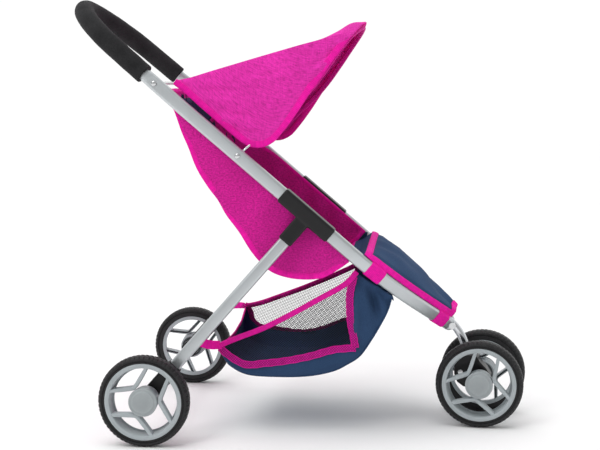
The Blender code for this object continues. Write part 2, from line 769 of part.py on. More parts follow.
def build_bow():
    half = bow_line()
    line = half + [(x, -y, z) for x, y, z in reversed(half[:-1])]
    pts = [pos(p.x, p.y, p.z) for p in through(line, 33)]
    bow = sweep("canopy_bow", pts, radius=BOW_R, resolution=1)
    x0, z0 = PIVOT
    for side, sg in SIDES:
        boolean(bow, cylinder("bow_eye_" + side, 4.6 * MM,
                              pos(x0, sg * 112.0, z0),
                              pos(x0, sg * 114.4, z0), 20), "UNION")
        boolean(bow, cylinder("bow_eye_bore_" + side, 2.1 * MM,
                              pos(x0, sg * 105.0, z0),
                              pos(x0, sg * 118.0, z0), 12))
    finish(bow, "steel")


# ---------------------------------------------------------------- soft goods
def across(s, half_low, half_high, low, high, corner=0.16):
    """Section of a trough or hood: a point at s from the right edge over
    both sides to the left edge.  low and high are the ends of a side, as
    (x, z); the flat between the two sides is at high."""
    side = 0.25
    if s < side or s > 1.0 - side:
        f = (s if s < side else 1.0 - s) / side
        half = half_low + (half_high - half_low) * f
        x = low[0] + (high[0] - low[0]) * f
        z = low[1] + (high[1] - low[1]) * f
        # the side turns into the flat with a round corner
        inset = corner * max(0.0, f - 0.72) ** 2 * 60.0
        return x, math.copysign(half - inset, s - 0.5), z
    f = (s - side) / (1.0 - 2 * side)
    return high[0], (half_high - corner * 4.7) * (2 * f - 1.0), high[1]


def build_canopy():
    def place(s, t):
        # t runs from the rear hem to the front bow, s from right to left
        ax, az = CANOPY_REAR
        low = Vector((ax, az - 4.0)).lerp(Vector(CANOPY_LOW), t)
        top = Vector((ax, az + 5.0)).lerp(Vector(CANOPY_TIP), t)
        # the top edge dips between hem and bow, the lower edge hangs a little
        top.y -= 6.0 * math.sin(math.pi * t) * (1.0 - 0.4 * t)
        low.y -= 1.5 * math.sin(math.pi * t)
        half_high = 106.0 - 5.0 * t
        x, y, z = across(s, CANOPY_HALF - 2.6 * (1.0 - t), half_high,
                         (low.x, low.y), (top.x, top.y))
        lift = max(0.0, 1.0 - (y / half_high) ** 2) if 0.25 <= s <= 0.75 else 0.0
        return pos(x, y, z + 4.0 * lift * math.sin(math.pi * (0.15 + 0.7 * t)))

    finish(sheet("canopy_fabric", 16, 8, place), "pink")


def seat_sections(count):
    line = by_length(through([(x, 0.0, z) for x, z in SEAT_LINE], 60), count)
    return [(p.x, p.z) for p in line]


def seat_rim(t):
    """The sling's edge along the side tube, matched to the outline."""
    u0 = plane_coords(*SEAT_LINE[0])[0]
    u1 = plane_coords(*SEAT_LINE[-1])[0]
    u = u0 + (u1 - u0) * t
    p = plane_point(u, 0, 3.0)
    return p.x / MM + ORIGIN_X, p.z / MM


def build_seat():
    rows = 14
    line = seat_sections(rows + 1)

    def place(s, t):
        k = round(t * rows)
        edge = seat_rim(t)
        bottom = line[k]
        x, y, z = across(s, SEAT_HALF, SEAT_HALF - 7.0, edge, bottom)
        return pos(x, y, z)

    finish(sheet("seat_bucket", 16, rows, place), "pink")

    def pad(name, first, last, half, kind):
        part = line[first:last + 1]
        n = len(part) - 1

        def place_pad(s, t):
            k = round(t * n)
            x, z = part[k]
            a = part[max(k - 1, 0)]
            b = part[min(k + 1, n)]
            d = Vector((b[0] - a[0], b[1] - a[1])).normalized()
            # inward normal of the outline
            nx, nz = -d.y, d.x
            inset = 5.4
            y = half * (2 * s - 1.0)
            return pos(x + nx * inset, y, z + nz * inset)

        finish(sheet(name, 6, n, place_pad, thickness=5.0), kind)

    pad("seat_back_pad", 1, 7, 92.0, "navy")
    pad("seat_base_pad", 9, 12, 90.0, "navy")


def build_basket():
    rows = 14
    line = by_length(through([(x, 0.0, z) for x, z in BASKET_LINE], 60),
                     rows + 1)
    rim = by_length(through([(x, 0.0, z) for x, z in BASKET_RIM], 60),
                    rows + 1)

    def place(s, t):
        k = round(t * rows)
        x, y, z = across(s, BASKET_HALF, BASKET_HALF - 6.0,
                         (rim[k].x, rim[k].z), (line[k].x, line[k].z))
        return pos(x, y, z)

    finish(sheet("basket", 16, rows, place), "navy")


def build_apron():
    def place(s, t):
        u = APRON_START + (APRON_END - APRON_START) * s
        half = tube_half(u) - 1.0 + 4.0 * (1.0 - s)
        v = half * (2 * t - 1.0)
        bulge = 9.0 * math.sin(math.pi * min(1.0, s * 0.9 + 0.06))
        h = 13.2 + bulge * (1.0 - (v / half) ** 2)
        return plane_point(u, v, h)

    finish(sheet("foot_apron", 10, 6, place), "navy")


def build_wraps():
    """Fabric tabs sewn round the side tubes, and the straps on the legs."""
    inner = oval("wrap_profile", TUBE_H + 0.8, TUBE_W + 0.8)
    for side, sg in SIDES:
        for name, a, b in (("apron_wrap_rear_", 378.0, 402.0),
                           ("apron_wrap_front_", 489.0, 509.0)):
            us = [a + (b - a) * i / 4 for i in range(5)]
            pts = [Vector((u * MM, sg * tube_half(u) * MM, 0.0)) for u in us]
            ob = sweep(name + side, pts, profile=inner, caps=False,
                       matrix=PLANE, twist="Z_UP")
            mod = ob.modifiers.new("tape", "SOLIDIFY")
            mod.thickness = 1.2 * MM
            mod.offset = 1.0
            finish(ob, "binding")

    inner = oval("strap_profile", LEG_H + 0.8, LEG_W + 0.8)
    for side, sg in SIDES:
        mat, length = leg_matrix(sg)
        a, b = length - 103.0, length - 91.0
        pts = [Vector((a * MM, 0, 0)), Vector((b * MM, 0, 0))]
        ob = sweep("basket_strap_" + side, pts, profile=inner, caps=False,
                   matrix=mat, twist="Z_UP")
        mod = ob.modifiers.new("tape", "SOLIDIFY")
        mod.thickness = 1.2 * MM
        mod.offset = 1.0
        ob = evaluated(ob)
        # the tab that runs from the leg to the basket's rear corner
        start = mat @ Vector(((a + b) / 2 * MM, -sg * 6.5 * MM, 4.5 * MM))
        end = pos(84.4, sg * 103.0, 121.5)
        ex = (end - start).normalized()
        ey = (Vector((0, 0, 1)) - ex * ex.z).normalized()
        ez = ex.cross(ey)
        rot = Matrix((ex, ey, ez)).transposed().to_4x4()
        tab = box("basket_tab_" + side,
                  ((end - start).length / MM - 0.5, 11.0, 1.4),
                  Matrix.Translation((start + end) / 2) @ rot)
        boolean(ob, tab, "UNION")
        finish(ob, "binding")


build_tubes()
build_handle()
build_legs()
build_wheels()
build_nose()
build_rivets()
build_bow()
build_canopy()
build_seat()
build_basket()
build_apron()
build_wraps()
bpy.context.view_layer.update()
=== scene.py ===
"""Finished look of the doll stroller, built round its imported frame.

Lengths in the helper P() and in the tables are millimetres from the rear
axle, as the frame's own dimensions are; the scene is in metres.
"""
import math

import bmesh
import bpy
import numpy as np
from mathutils import Matrix, Vector, noise


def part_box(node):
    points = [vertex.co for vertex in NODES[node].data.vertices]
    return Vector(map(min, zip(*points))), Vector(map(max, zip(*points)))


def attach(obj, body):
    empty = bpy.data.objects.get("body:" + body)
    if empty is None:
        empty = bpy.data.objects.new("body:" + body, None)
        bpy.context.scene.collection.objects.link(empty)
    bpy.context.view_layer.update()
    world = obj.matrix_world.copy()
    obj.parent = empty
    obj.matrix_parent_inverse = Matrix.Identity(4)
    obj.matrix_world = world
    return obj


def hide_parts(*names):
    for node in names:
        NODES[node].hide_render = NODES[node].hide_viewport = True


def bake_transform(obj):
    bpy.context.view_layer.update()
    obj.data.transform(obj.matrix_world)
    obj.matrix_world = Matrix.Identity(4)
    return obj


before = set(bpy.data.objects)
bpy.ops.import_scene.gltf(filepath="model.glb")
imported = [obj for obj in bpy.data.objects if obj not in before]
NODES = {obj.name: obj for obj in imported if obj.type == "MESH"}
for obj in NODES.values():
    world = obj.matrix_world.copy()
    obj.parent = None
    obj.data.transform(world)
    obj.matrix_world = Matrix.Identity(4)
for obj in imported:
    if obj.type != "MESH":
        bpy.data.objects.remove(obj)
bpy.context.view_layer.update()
MM = 0.001
OX = 190.0
Y_AXIS = Vector((0.0, 1.0, 0.0))
SIDES = (("right", -1.0), ("left", 1.0))


def P(x, y, z):
    return Vector(((x - OX) * MM, y * MM, z * MM))


# ------------------------------------------------------------------ camera
cam_data = bpy.data.cameras.new("photo_camera")
cam_data.sensor_width = 36.0
cam_data.lens = 74.709
cam_data.clip_start = 0.05
cam_data.clip_end = 40.0
cam = bpy.data.objects.new("photo_camera", cam_data)
cam.location = (0.165482, -1.739865, 0.469747)
cam.rotation_euler = (math.radians(83.573), 0.0, math.radians(5.527))
bpy.context.scene.collection.objects.link(cam)
bpy.context.scene.camera = cam


# --------------------------------------------------------------- materials
class Shader:
    """A few short calls for building a material's nodes."""

    def __init__(self, name, rough=0.5, metal=0.0, spec=0.5):
        self.mat = bpy.data.materials.new(name)
        self.mat.use_nodes = True
        self.nt = self.mat.node_tree
        self.bsdf = self.nt.nodes["Principled BSDF"]
        self.set("Roughness", rough)
        self.set("Metallic", metal)
        self.set("Specular IOR Level", spec)

    def set(self, socket, value):
        self.bsdf.inputs[socket].default_value = value

    def node(self, kind, **inputs):
        n = self.nt.nodes.new(kind)
        for k, v in inputs.items():
            k = k.replace("_", " ")
            if hasattr(v, "is_output"):
                self.nt.links.new(v, n.inputs[k])
            else:
                n.inputs[k].default_value = v
        return n

    def coords(self, kind, scale):
        tc = self.nt.nodes.new("ShaderNodeTexCoord")
        mp = self.nt.nodes.new("ShaderNodeMapping")
        mp.inputs["Scale"].default_value = scale
        self.nt.links.new(tc.outputs[kind], mp.inputs["Vector"])
        return mp.outputs["Vector"]

    def noise(self, vec, scale, detail=3.0, rough=0.55):
        n = self.node("ShaderNodeTexNoise", Vector=vec, Scale=scale,
                      Detail=detail, Roughness=rough)
        return n.outputs["Fac"]

    def wave(self, vec, scale, direction="X", distortion=0.0):
        n = self.node("ShaderNodeTexWave", Vector=vec, Scale=scale,
                      Distortion=distortion)
        n.bands_direction = direction
        n.wave_profile = "SIN"
        return n.outputs["Fac"]

    def math(self, op, a, b=0.0):
        n = self.nt.nodes.new("ShaderNodeMath")
        n.operation = op
        for i, v in enumerate((a, b)):
            if hasattr(v, "is_output"):
                self.nt.links.new(v, n.inputs[i])
            else:
                n.inputs[i].default_value = v
        return n.outputs[0]

    def ramp(self, fac, stops):
        n = self.nt.nodes.new("ShaderNodeValToRGB")
        self.nt.links.new(fac, n.inputs["Fac"])
        while len(n.color_ramp.elements) < len(stops):
            n.color_ramp.elements.new(0.5)
        for e, (p, c) in zip(n.color_ramp.elements, stops):
            e.position = p
            e.color = (*c, 1.0) if len(c) == 3 else c
        return n.outputs["Color"]

    def mix(self, fac, a, b, blend="MIX"):
        n = self.nt.nodes.new("ShaderNodeMix")
        n.data_type = "RGBA"
        n.blend_type = blend
        ins = (n.inputs["Factor"], n.inputs["A"], n.inputs["B"])
        # the colour sockets are the seventh and eighth of a mix node
        ins = (n.inputs[0], n.inputs[6], n.inputs[7])
        for s, v in zip(ins, (fac, a, b)):
            if hasattr(v, "is_output"):
                self.nt.links.new(v, s)
            else:
                s.default_value = v if isinstance(v, float) else (*v, 1.0)
        return n.outputs[2]

    def link(self, out, socket):
        self.nt.links.new(out, self.bsdf.inputs[socket])

    def bump(self, height, strength, distance, after=None):
        n = self.node("ShaderNodeBump", Height=height, Strength=strength,
                      Distance=distance)
        if after is not None:
            self.nt.links.new(after, n.inputs["Normal"])
        return n.outputs["Normal"]

    def edges(self, lift=0.5):
        """Painted highlight along edges, from the surface's pointiness."""
        g = self.nt.nodes.new("ShaderNodeNewGeometry")
        return self.ramp(g.outputs["Pointiness"],
                         [(0.50, (0, 0, 0)), (0.50 + 0.12 * lift, (1, 1, 1))])


def scaled(c, k):
    return tuple(min(1.0, x * k) for x in c)


def fabric(name, base, thread=0.75, melange=0.35, rough=0.92, coords="UV",
           sheen=0.25, streak=3.5, bump=0.35, light=1.35, dark=0.62,
           grain=0.9):
    """Plain-woven cloth: crossing threads, flecked yarn and a soft sheen."""
    s = Shader(name, rough=rough, spec=0.18)
    k = 1.0 / (thread * MM)
    vec = s.coords(coords, (1.0, 1.0, 1.0))
    flat = s.coords(coords, (k, k, k))
    warp = s.wave(flat, 0.159, "X")
    weft = s.wave(flat, 0.159, "Y")
    weave = s.math("MULTIPLY", warp, weft)
    # flecks run along the yarn
    k2 = 1.0 / (grain * MM)
    along = s.coords(coords, (k2 / streak, k2, k2))
    across = s.coords(coords, (k2, k2 / streak, k2))
    f1 = s.noise(along, 1.0, 2.0, 0.6)
    f2 = s.noise(across, 1.0, 2.0, 0.6)
    fleck = s.math("ADD", s.math("MULTIPLY", f1, 0.62),
                   s.math("MULTIPLY", f2, 0.38))
    lo, hi = 0.5 - 0.16, 0.5 + 0.16
    tint = s.ramp(fleck, [(lo, scaled(base, 1 - (1 - dark) * melange * 2)),
                          (0.5, base),
                          (hi, scaled(base, 1 + (light - 1) * melange * 2))])
    broad = s.noise(vec, 14.0, 2.0, 0.5)
    shade = s.ramp(broad, [(0.3, (0.86, 0.86, 0.86)), (0.7, (1.0, 1.0, 1.0))])
    color = s.mix(1.0, tint, shade, "MULTIPLY")
    gap = s.ramp(weave, [(0.0, (0.72, 0.72, 0.72)), (0.35, (1, 1, 1))])
    color = s.mix(0.55, color, s.mix(1.0, color, gap, "MULTIPLY"))
    s.link(color, "Base Color")
    s.set("Sheen Weight", sheen)
    s.set("Sheen Roughness", 0.45)
    s.set("Sheen Tint", (*scaled(base, 1.1), 1.0))
    n1 = s.bump(weave, bump, 0.00022)
    n2 = s.bump(fleck, bump * 0.7, 0.00030, n1)
    s.nt.links.new(n2, s.bsdf.inputs["Normal"])
    return s.mat


def tape_material(name, base, ribs=1.1, rough=0.8, coords="UV"):
    """Grosgrain binding tape: fine ribs across its length."""
    s = Shader(name, rough=rough, spec=0.25)
    k = 1.0 / (ribs * MM)
    flat = s.coords(coords, (k, k, k))
    rib = s.wave(flat, 0.159, "X")
    vec = s.coords(coords, (1.0, 1.0, 1.0))
    var = s.noise(vec, 160.0, 3.0, 0.6)
    c = s.ramp(var, [(0.3, scaled(base, 0.84)), (0.7, scaled(base, 1.12))])
    groove = s.ramp(rib, [(0.0, (0.82, 0.82, 0.82)), (0.4, (1, 1, 1))])
    s.link(s.mix(0.7, c, s.mix(1.0, c, groove, "MULTIPLY")), "Base Color")
    s.set("Sheen Weight", 0.2)
    s.set("Sheen Tint", (*scaled(base, 1.1), 1.0))
    n1 = s.bump(rib, 0.35, 0.00018)
    n2 = s.bump(var, 0.3, 0.0002, n1)
    s.nt.links.new(n2, s.bsdf.inputs["Normal"])
    return s.mat


def plastic(name, base, rough, grain=900.0, bump=0.06, spec=0.5, edge_highlight=0.25,
            vary=0.10):
    """Moulded plastic with a fine spark-eroded grain and a painted highlight on its edges."""
    s = Shader(name, spec=spec)
    vec = s.coords("Object", (1.0, 1.0, 1.0))
    fine = s.noise(vec, grain, 3.0, 0.6)
    broad = s.noise(vec, 30.0, 4.0, 0.55)
    c = s.ramp(broad, [(0.3, scaled(base, 1 - vary)),
                       (0.7, scaled(base, 1 + vary))])
    # painted highlight: convex edges lightened towards 1.9 times the base colour
    s.link(s.mix(s.math("MULTIPLY", s.edges(0.5), edge_highlight), c,
                 scaled(base, 1.9)), "Base Color")
    r = s.node("ShaderNodeMapRange", Value=broad, To_Min=rough - 0.05,
               To_Max=rough + 0.07)
    s.link(r.outputs["Result"], "Roughness")
    s.nt.links.new(s.bump(fine, bump, 0.0002), s.bsdf.inputs["Normal"])
    return s.mat


def metal(name, base, rough, metallic=1.0, brush=True, coat=0.0,
          direction=(1.0, 1.0, 1.0)):
    """Plated or lacquered metal: drawing marks and small scuffs."""
    s = Shader(name, metal=metallic, spec=0.5)
    vec = s.coords("Object", direction)
    marks = s.noise(vec, 260.0, 4.0, 0.6)
    broad = s.noise(s.coords("Object", (1, 1, 1)), 18.0, 3.0, 0.5)
    scuff = s.noise(s.coords("Object", (1, 1, 1)), 420.0, 5.0, 0.75)
    c = s.ramp(broad, [(0.3, scaled(base, 0.94)), (0.7, scaled(base, 1.04))])
    spots = s.ramp(scuff, [(0.66, (1, 1, 1)), (0.76, (0.80, 0.80, 0.80))])
    s.link(s.mix(0.5, c, s.mix(1.0, c, spots, "MULTIPLY")), "Base Color")
    r = s.node("ShaderNodeMapRange", Value=marks, To_Min=rough - 0.06,
               To_Max=rough + 0.10)
    s.link(r.outputs["Result"], "Roughness")
    s.set("Coat Weight", coat)
    s.set("Coat Roughness", 0.22)
    if brush:
        s.nt.links.new(s.bump(marks, 0.06, 0.00015), s.bsdf.inputs["Normal"])
    return s.mat


def foam_material():
    s = Shader("foam_sleeve", rough=0.95, spec=0.12)
    vec = s.coords("Object", (1, 1, 1))
    v = s.node("ShaderNodeTexVoronoi", Vector=vec, Scale=1500.0)
    cells = v.outputs["Distance"]
    fine = s.noise(vec, 1100.0, 4.0, 0.7)
    broad = s.noise(vec, 55.0, 4.0, 0.6)
    c = s.ramp(broad, [(0.28, (0.017, 0.017, 0.018)),
                       (0.72, (0.030, 0.030, 0.0315))])
    pits = s.ramp(fine, [(0.36, (0.50, 0.50, 0.50)), (0.52, (1, 1, 1))])
    s.link(s.mix(0.8, c, s.mix(1.0, c, pits, "MULTIPLY")), "Base Color")
    s.set("Sheen Weight", 0.08)
    s.set("Sheen Roughness", 0.5)
    s.set("Sheen Tint", (0.5, 0.5, 0.52, 1.0))
    n1 = s.bump(cells, 0.25, 0.00035)
    n2 = s.bump(fine, 0.45, 0.00030, n1)
    n3 = s.bump(broad, 0.25, 0.0008, n2)
    s.nt.links.new(n3, s.bsdf.inputs["Normal"])
    return s.mat


def rubber_material():
    s = Shader("tyre_rubber", rough=0.62, spec=0.30)
    vec = s.coords("Object", (1, 1, 1))
    fine = s.noise(vec, 1400.0, 4.0, 0.7)
    broad = s.noise(vec, 90.0, 5.0, 0.65)
    c = s.ramp(broad, [(0.3, (0.0105, 0.0105, 0.0115)),
                       (0.7, (0.020, 0.020, 0.0215))])
    dust = s.ramp(s.noise(vec, 240.0, 6.0, 0.8),
                  [(0.55, (0, 0, 0)), (0.75, (1, 1, 1))])
    s.link(s.mix(s.math("MULTIPLY", dust, 0.18), c, (0.07, 0.068, 0.066)),
           "Base Color")
    r = s.node("ShaderNodeMapRange", Value=broad, To_Min=0.42, To_Max=0.68)
    s.link(r.outputs["Result"], "Roughness")
    s.nt.links.new(s.bump(fine, 0.35, 0.0003), s.bsdf.inputs["Normal"])
    return s.mat


def mesh_tape_material():
    """Pink tape seen through dark knitted casing net."""
    s = Shader("mesh_casing_tape", rough=0.85, spec=0.15)
    k = 1.0 / (2.5 * MM)
    tc = s.nt.nodes.new("ShaderNodeTexCoord")
    mp = s.nt.nodes.new("ShaderNodeMapping")
    mp.inputs["Scale"].default_value = (k, k, k)
    mp.inputs["Rotation"].default_value = (0.0, math.radians(45.0), 0.0)
    s.nt.links.new(tc.outputs["Object"], mp.inputs["Vector"])
    a = s.wave(mp.outputs["Vector"], 0.318, "X")
    b = s.wave(mp.outputs["Vector"], 0.318, "Z")
    cross = s.math("MAXIMUM", a, b)
    c = s.ramp(cross, [(0.70, (0.62, 0.012, 0.30)), (0.93, (0.20, 0.002, 0.10))])
    vec = s.coords("Object", (1, 1, 1))
    var = s.noise(vec, 120.0, 3.0, 0.6)
    shade = s.ramp(var, [(0.3, (0.80, 0.80, 0.80)), (0.7, (1.1, 1.1, 1.1))])
    s.link(s.mix(1.0, c, shade, "MULTIPLY"), "Base Color")
    s.set("Sheen Weight", 0.15)
    s.nt.links.new(s.bump(cross, 0.5, 0.0004), s.bsdf.inputs["Normal"])
    return s.mat


PINK = (0.735, 0.022, 0.345)
BRIGHT = (0.86, 0.004, 0.37)
NAVY = (0.031, 0.070, 0.155)
M = {
    "canopy": fabric("canopy_melange", (0.83, 0.034, 0.43), melange=0.46,
                     streak=6.0, grain=1.5, sheen=0.12),
    "seat": fabric("seat_melange", (0.68, 0.016, 0.31), melange=0.50,
                   streak=2.2, grain=1.6, sheen=0.12),
    "navy": fabric("navy_polyester", NAVY, melange=0.22, thread=0.55,
                   streak=2.5, sheen=0.15, bump=0.25),
    "pad": fabric("pad_navy", (0.022, 0.034, 0.085), melange=0.22, thread=0.7,
                  coords="Object", sheen=0.3),
    "bright": tape_material("binding_tape", BRIGHT),
    # the binding tape's colour darkened to 0.72: painted shade, for the hoop casing inside the
    # canopy's front edge and the basket's edge cords
    "shaded_tape": tape_material("binding_tape_shaded", (0.62, 0.004, 0.27)),
    "thread": tape_material("sewing_thread", (0.78, 0.02, 0.40), ribs=0.35,
                            coords="Object"),
    "navy_thread": tape_material("navy_thread", (0.05, 0.08, 0.17), ribs=0.35,
                                 coords="Object"),
    "net": plastic("basket_net", (0.012, 0.014, 0.020), 0.75, edge_highlight=0.0,
                   spec=0.15),
    "mesh_tape": mesh_tape_material(),
    # the binding tape's colour darkened to 0.84: painted shade, for the basket's rim binding
    # and back hem under the seat
    "shaded_rim_tape": tape_material("shaded_rim_tape", (0.72, 0.004, 0.31)),
    "foam": foam_material(),
    "tyre": rubber_material(),
    "tube": metal("lacquered_tube", (0.52, 0.55, 0.565), 0.32, metallic=0.80,
                  coat=0.2),
    "steel": metal("plated_steel", (0.62, 0.63, 0.64), 0.22),
    "pipe": metal("plated_pipe", (0.66, 0.68, 0.70), 0.14),
    "black": plastic("black_moulding", (0.0095, 0.0095, 0.0105), 0.36,
                     spec=0.30),
    "rim": plastic("grey_moulding", (0.335, 0.37, 0.385), 0.42, edge_highlight=0.22,
                   grain=700.0, spec=0.35),
    "cap": plastic("grey_cap", (0.315, 0.345, 0.355), 0.40, edge_highlight=0.2,
                   grain=700.0, spec=0.35),
}


# --------------------------------------------------------------- mesh tools
def add_object(name, mesh, mat, smooth=True):
    ob = bpy.data.objects.new(name, mesh)
    bpy.context.scene.collection.objects.link(ob)
    if mat is not None:
        mesh.materials.clear()
        mesh.materials.append(mat)
    if smooth:
        mesh.shade_smooth()
    return ob


def make(name, verts, faces, mat, uvs=None, smooth=True):
    mesh = bpy.data.meshes.new(name)
    mesh.from_pydata([tuple(v) for v in verts], [], faces)
    if uvs is not None:
        layer = mesh.uv_layers.new(name="UVMap")
        idx = np.zeros(len(mesh.loops), np.int32)
        mesh.loops.foreach_get("vertex_index", idx)
        layer.data.foreach_set("uv", np.asarray(uvs, np.float32)[idx].ravel())
    mesh.update()
    return add_object(name, mesh, mat, smooth)


def grid(name, rows, mat, uvs=None, thick=0.8, offset=0.0, flip=False,
         sub=0):
    """A sheet through rows of points, with thickness from Solidify."""
    nr, nc = len(rows), len(rows[0])
    verts = [p for r in rows for p in r]
    faces = []
    for i in range(nr - 1):
        for j in range(nc - 1):
            f = (i * nc + j, i * nc + j + 1, (i + 1) * nc + j + 1,
                 (i + 1) * nc + j)
            faces.append(f[::-1] if flip else f)
    if uvs is None:
        uvs = [(j * 0.004, i * 0.004) for i in range(nr) for j in range(nc)]
    else:
        uvs = [u for r in uvs for u in r]
    ob = make(name, verts, faces, mat, uvs)
    if sub:
        m = ob.modifiers.new("soft", "SUBSURF")
        m.levels = m.render_levels = sub
    if thick:
        m = ob.modifiers.new("cloth", "SOLIDIFY")
        m.thickness = thick * MM
        m.offset = offset
    return ob


def through(points, count):
    """A smooth curve through control points, sampled at equal parameters."""
    pts = [Vector(p) for p in points]
    out = []
    last = len(pts) - 1
    for i in range(count):
        t = last * i / (count - 1)
        k = min(int(t), last - 1)
        f = t - k
        p0 = pts[k - 1] if k > 0 else pts[k] * 2 - pts[k + 1]
        p1, p2 = pts[k], pts[k + 1]
        p3 = pts[k + 2] if k + 2 <= last else pts[k + 1] * 2 - pts[k]
        out.append(0.5 * ((2 * p1) + (p2 - p0) * f
                          + (2 * p0 - 5 * p1 + 4 * p2 - p3) * f * f
                          + (3 * p1 - p0 - 3 * p2 + p3) * f ** 3))
    return out


def by_length(points, count):
    pts = [Vector(p) for p in points]
    dist = [0.0]
    for a, b in zip(pts, pts[1:]):
        dist.append(dist[-1] + (b - a).length)
    out, k = [], 0
    for i in range(count):
        d = dist[-1] * i / (count - 1)
        while k < len(pts) - 2 and dist[k + 1] < d:
            k += 1
        f = (d - dist[k]) / max(1e-9, dist[k + 1] - dist[k])
        out.append(pts[k].lerp(pts[k + 1], f))
    return out


def smooth_line(points, count):
    """A smooth curve through points, sampled evenly along its length."""
    return by_length(through(points, 12 * len(points)), count)


class Line:
    """A smooth side-view line that can be asked for a point at t, 0 to 1."""

    def __init__(self, points, count=240, even=True):
        pts = [(x, 0.0, z) for x, z in points]
        fine = through(pts, 14 * len(pts))
        self.pts = by_length(fine, count) if even else through(pts, count)

    def at(self, t):
        f = max(0.0, min(1.0, t)) * (len(self.pts) - 1)
        k = min(int(f), len(self.pts) - 2)
        p = self.pts[k].lerp(self.pts[k + 1], f - k)
        return p.x, p.z


def sweep(name, pts, profile, up, mat, ends=None, uv_scale=MM, scales=None):
    """A closed profile of (side, up) millimetres swept along points.

    ends: list of (step back in mm, profile scale) rings that close an end.
    """
    n = len(pts)
    tang = []
    for i in range(n):
        a, b = pts[max(i - 1, 0)], pts[min(i + 1, n - 1)]
        tang.append((b - a).normalized())
    rings = []
    for i in range(n):
        u = up[i] if isinstance(up, list) else up
        side = tang[i].cross(u).normalized()
        upv = side.cross(tang[i]).normalized()
        k = scales[i] if scales else 1.0
        prof = profile(i) if callable(profile) else profile
        rings.append((pts[i], side, upv, prof, k))
    seq = []
    if ends:
        for back, k in ends:
            p, side, upv, prof, _ = rings[0]
            seq.append((p + tang[0] * back * MM, side, upv, prof, k))
    seq += rings[1:-1] if ends else rings
    if ends:
        for back, k in reversed(ends):
            p, side, upv, prof, _ = rings[-1]
            seq.append((p - tang[-1] * back * MM, side, upv, prof, k))
    m = len(seq[0][3])
    verts, uvs = [], []
    run = 0.0
    for i, (p, side, upv, prof, k) in enumerate(seq):
        if i:
            run += (p - seq[i - 1][0]).length
        girth = 0.0
        for j, (a, b) in enumerate(prof):
            if j:
                girth += math.hypot(a - prof[j - 1][0], b - prof[j - 1][1])
            verts.append(p + side * (a * MM * k) + upv * (b * MM * k))
            uvs.append((run, girth * MM))
    faces = []
    for i in range(len(seq) - 1):
        for j in range(m):
            j2 = (j + 1) % m
            faces.append((i * m + j, i * m + j2, (i + 1) * m + j2,
                          (i + 1) * m + j))
    faces.append(tuple(range(m))[::-1])
    faces.append(tuple((len(seq) - 1) * m + j for j in range(m)))
    ob = make(name, verts, faces, mat, uvs)
    fix_normals(ob)
    sharp(ob, 40)
    return ob


def fix_normals(ob):
    bm = bmesh.new()
    bm.from_mesh(ob.data)
    bmesh.ops.recalc_face_normals(bm, faces=bm.faces)
    bm.to_mesh(ob.data)
    bm.free()


def sharp(ob, deg):
    ob.data.shade_smooth()
    ob.data.set_sharp_from_angle(angle=math.radians(deg))


def circle(r, n):
    return [(r * math.cos(2 * math.pi * i / n), r * math.sin(2 * math.pi * i / n))
            for i in range(n)]


def oval(width, height, corner=0.72, steps=7):
    """Flat oval: width across, height up, round ends."""
    r = min(width, height) * 0.5 * corner
    pts = []
    for cx, cy, start in ((1, 1, 0), (-1, 1, 90), (-1, -1, 180), (1, -1, 270)):
        for i in range(steps):
            a = math.radians(start + 90.0 * i / (steps - 1))
            pts.append((cx * (width / 2 - r) + r * math.cos(a),
                        cy * (height / 2 - r) + r * math.sin(a)))
    return pts


def lathe(name, profile, steps, mat, closed=True, deform=None):
    """A profile of (radius, y) in mm turned about +Y."""
    verts, uvs = [], []
    m = len(profile)
    for i in range(steps):
        a = 2 * math.pi * i / steps
        for j, (r, y) in enumerate(profile):
            if deform:
                r, y = deform(r, y, a, j)
            verts.append((r * math.cos(a) * MM, y * MM, r * math.sin(a) * MM))
            uvs.append((a * 0.06, y * MM))
    faces = []
    for i in range(steps):
        k = (i + 1) % steps
        for j in range(m if closed else m - 1):
            j2 = (j + 1) % m
            faces.append((i * m + j, i * m + j2, k * m + j2, k * m + j))
    if not closed:
        faces.append(tuple(i * m for i in range(steps)))
        faces.append(tuple(i * m + m - 1 for i in range(steps))[::-1])
    ob = make(name, verts, faces, mat, uvs)
    fix_normals(ob)
    return ob


def apply_mods(ob):
    bpy.context.view_layer.update()
    dg = bpy.context.evaluated_depsgraph_get()
    mesh = bpy.data.meshes.new_from_object(ob.evaluated_get(dg), depsgraph=dg)
    old = ob.data
    ob.modifiers.clear()
    ob.data = mesh
    mesh.name = ob.name
    if old.users == 0:
        bpy.data.meshes.remove(old)
    return ob


def join(name, obs, mat=None):
    """Several meshes as one piece, transforms and modifiers applied."""
    bm = bmesh.new()
    mats = []
    for ob in obs:
        if ob.modifiers:
            apply_mods(ob)
        if ob.data.materials and ob.data.materials[0] not in mats:
            mats.append(ob.data.materials[0])
        idx = mats.index(ob.data.materials[0]) if ob.data.materials else 0
        tmp = ob.data.copy()
        tmp.transform(ob.matrix_world)
        n = len(bm.faces)
        bm.from_mesh(tmp)
        bm.faces.ensure_lookup_table()
        for f in bm.faces[n:]:
            f.material_index = idx
        bpy.data.meshes.remove(tmp)
    mesh = bpy.data.meshes.new(name)
    bm.to_mesh(mesh)
    bm.free()
    for ob in obs:
        bpy.data.objects.remove(ob, do_unlink=True)
    ob = bpy.data.objects.new(name, mesh)
    bpy.context.scene.collection.objects.link(ob)
    for m in ([mat] if mat else mats):
        mesh.materials.append(m)
    if mat:
        for p in mesh.polygons:
            p.material_index = 0
    return ob


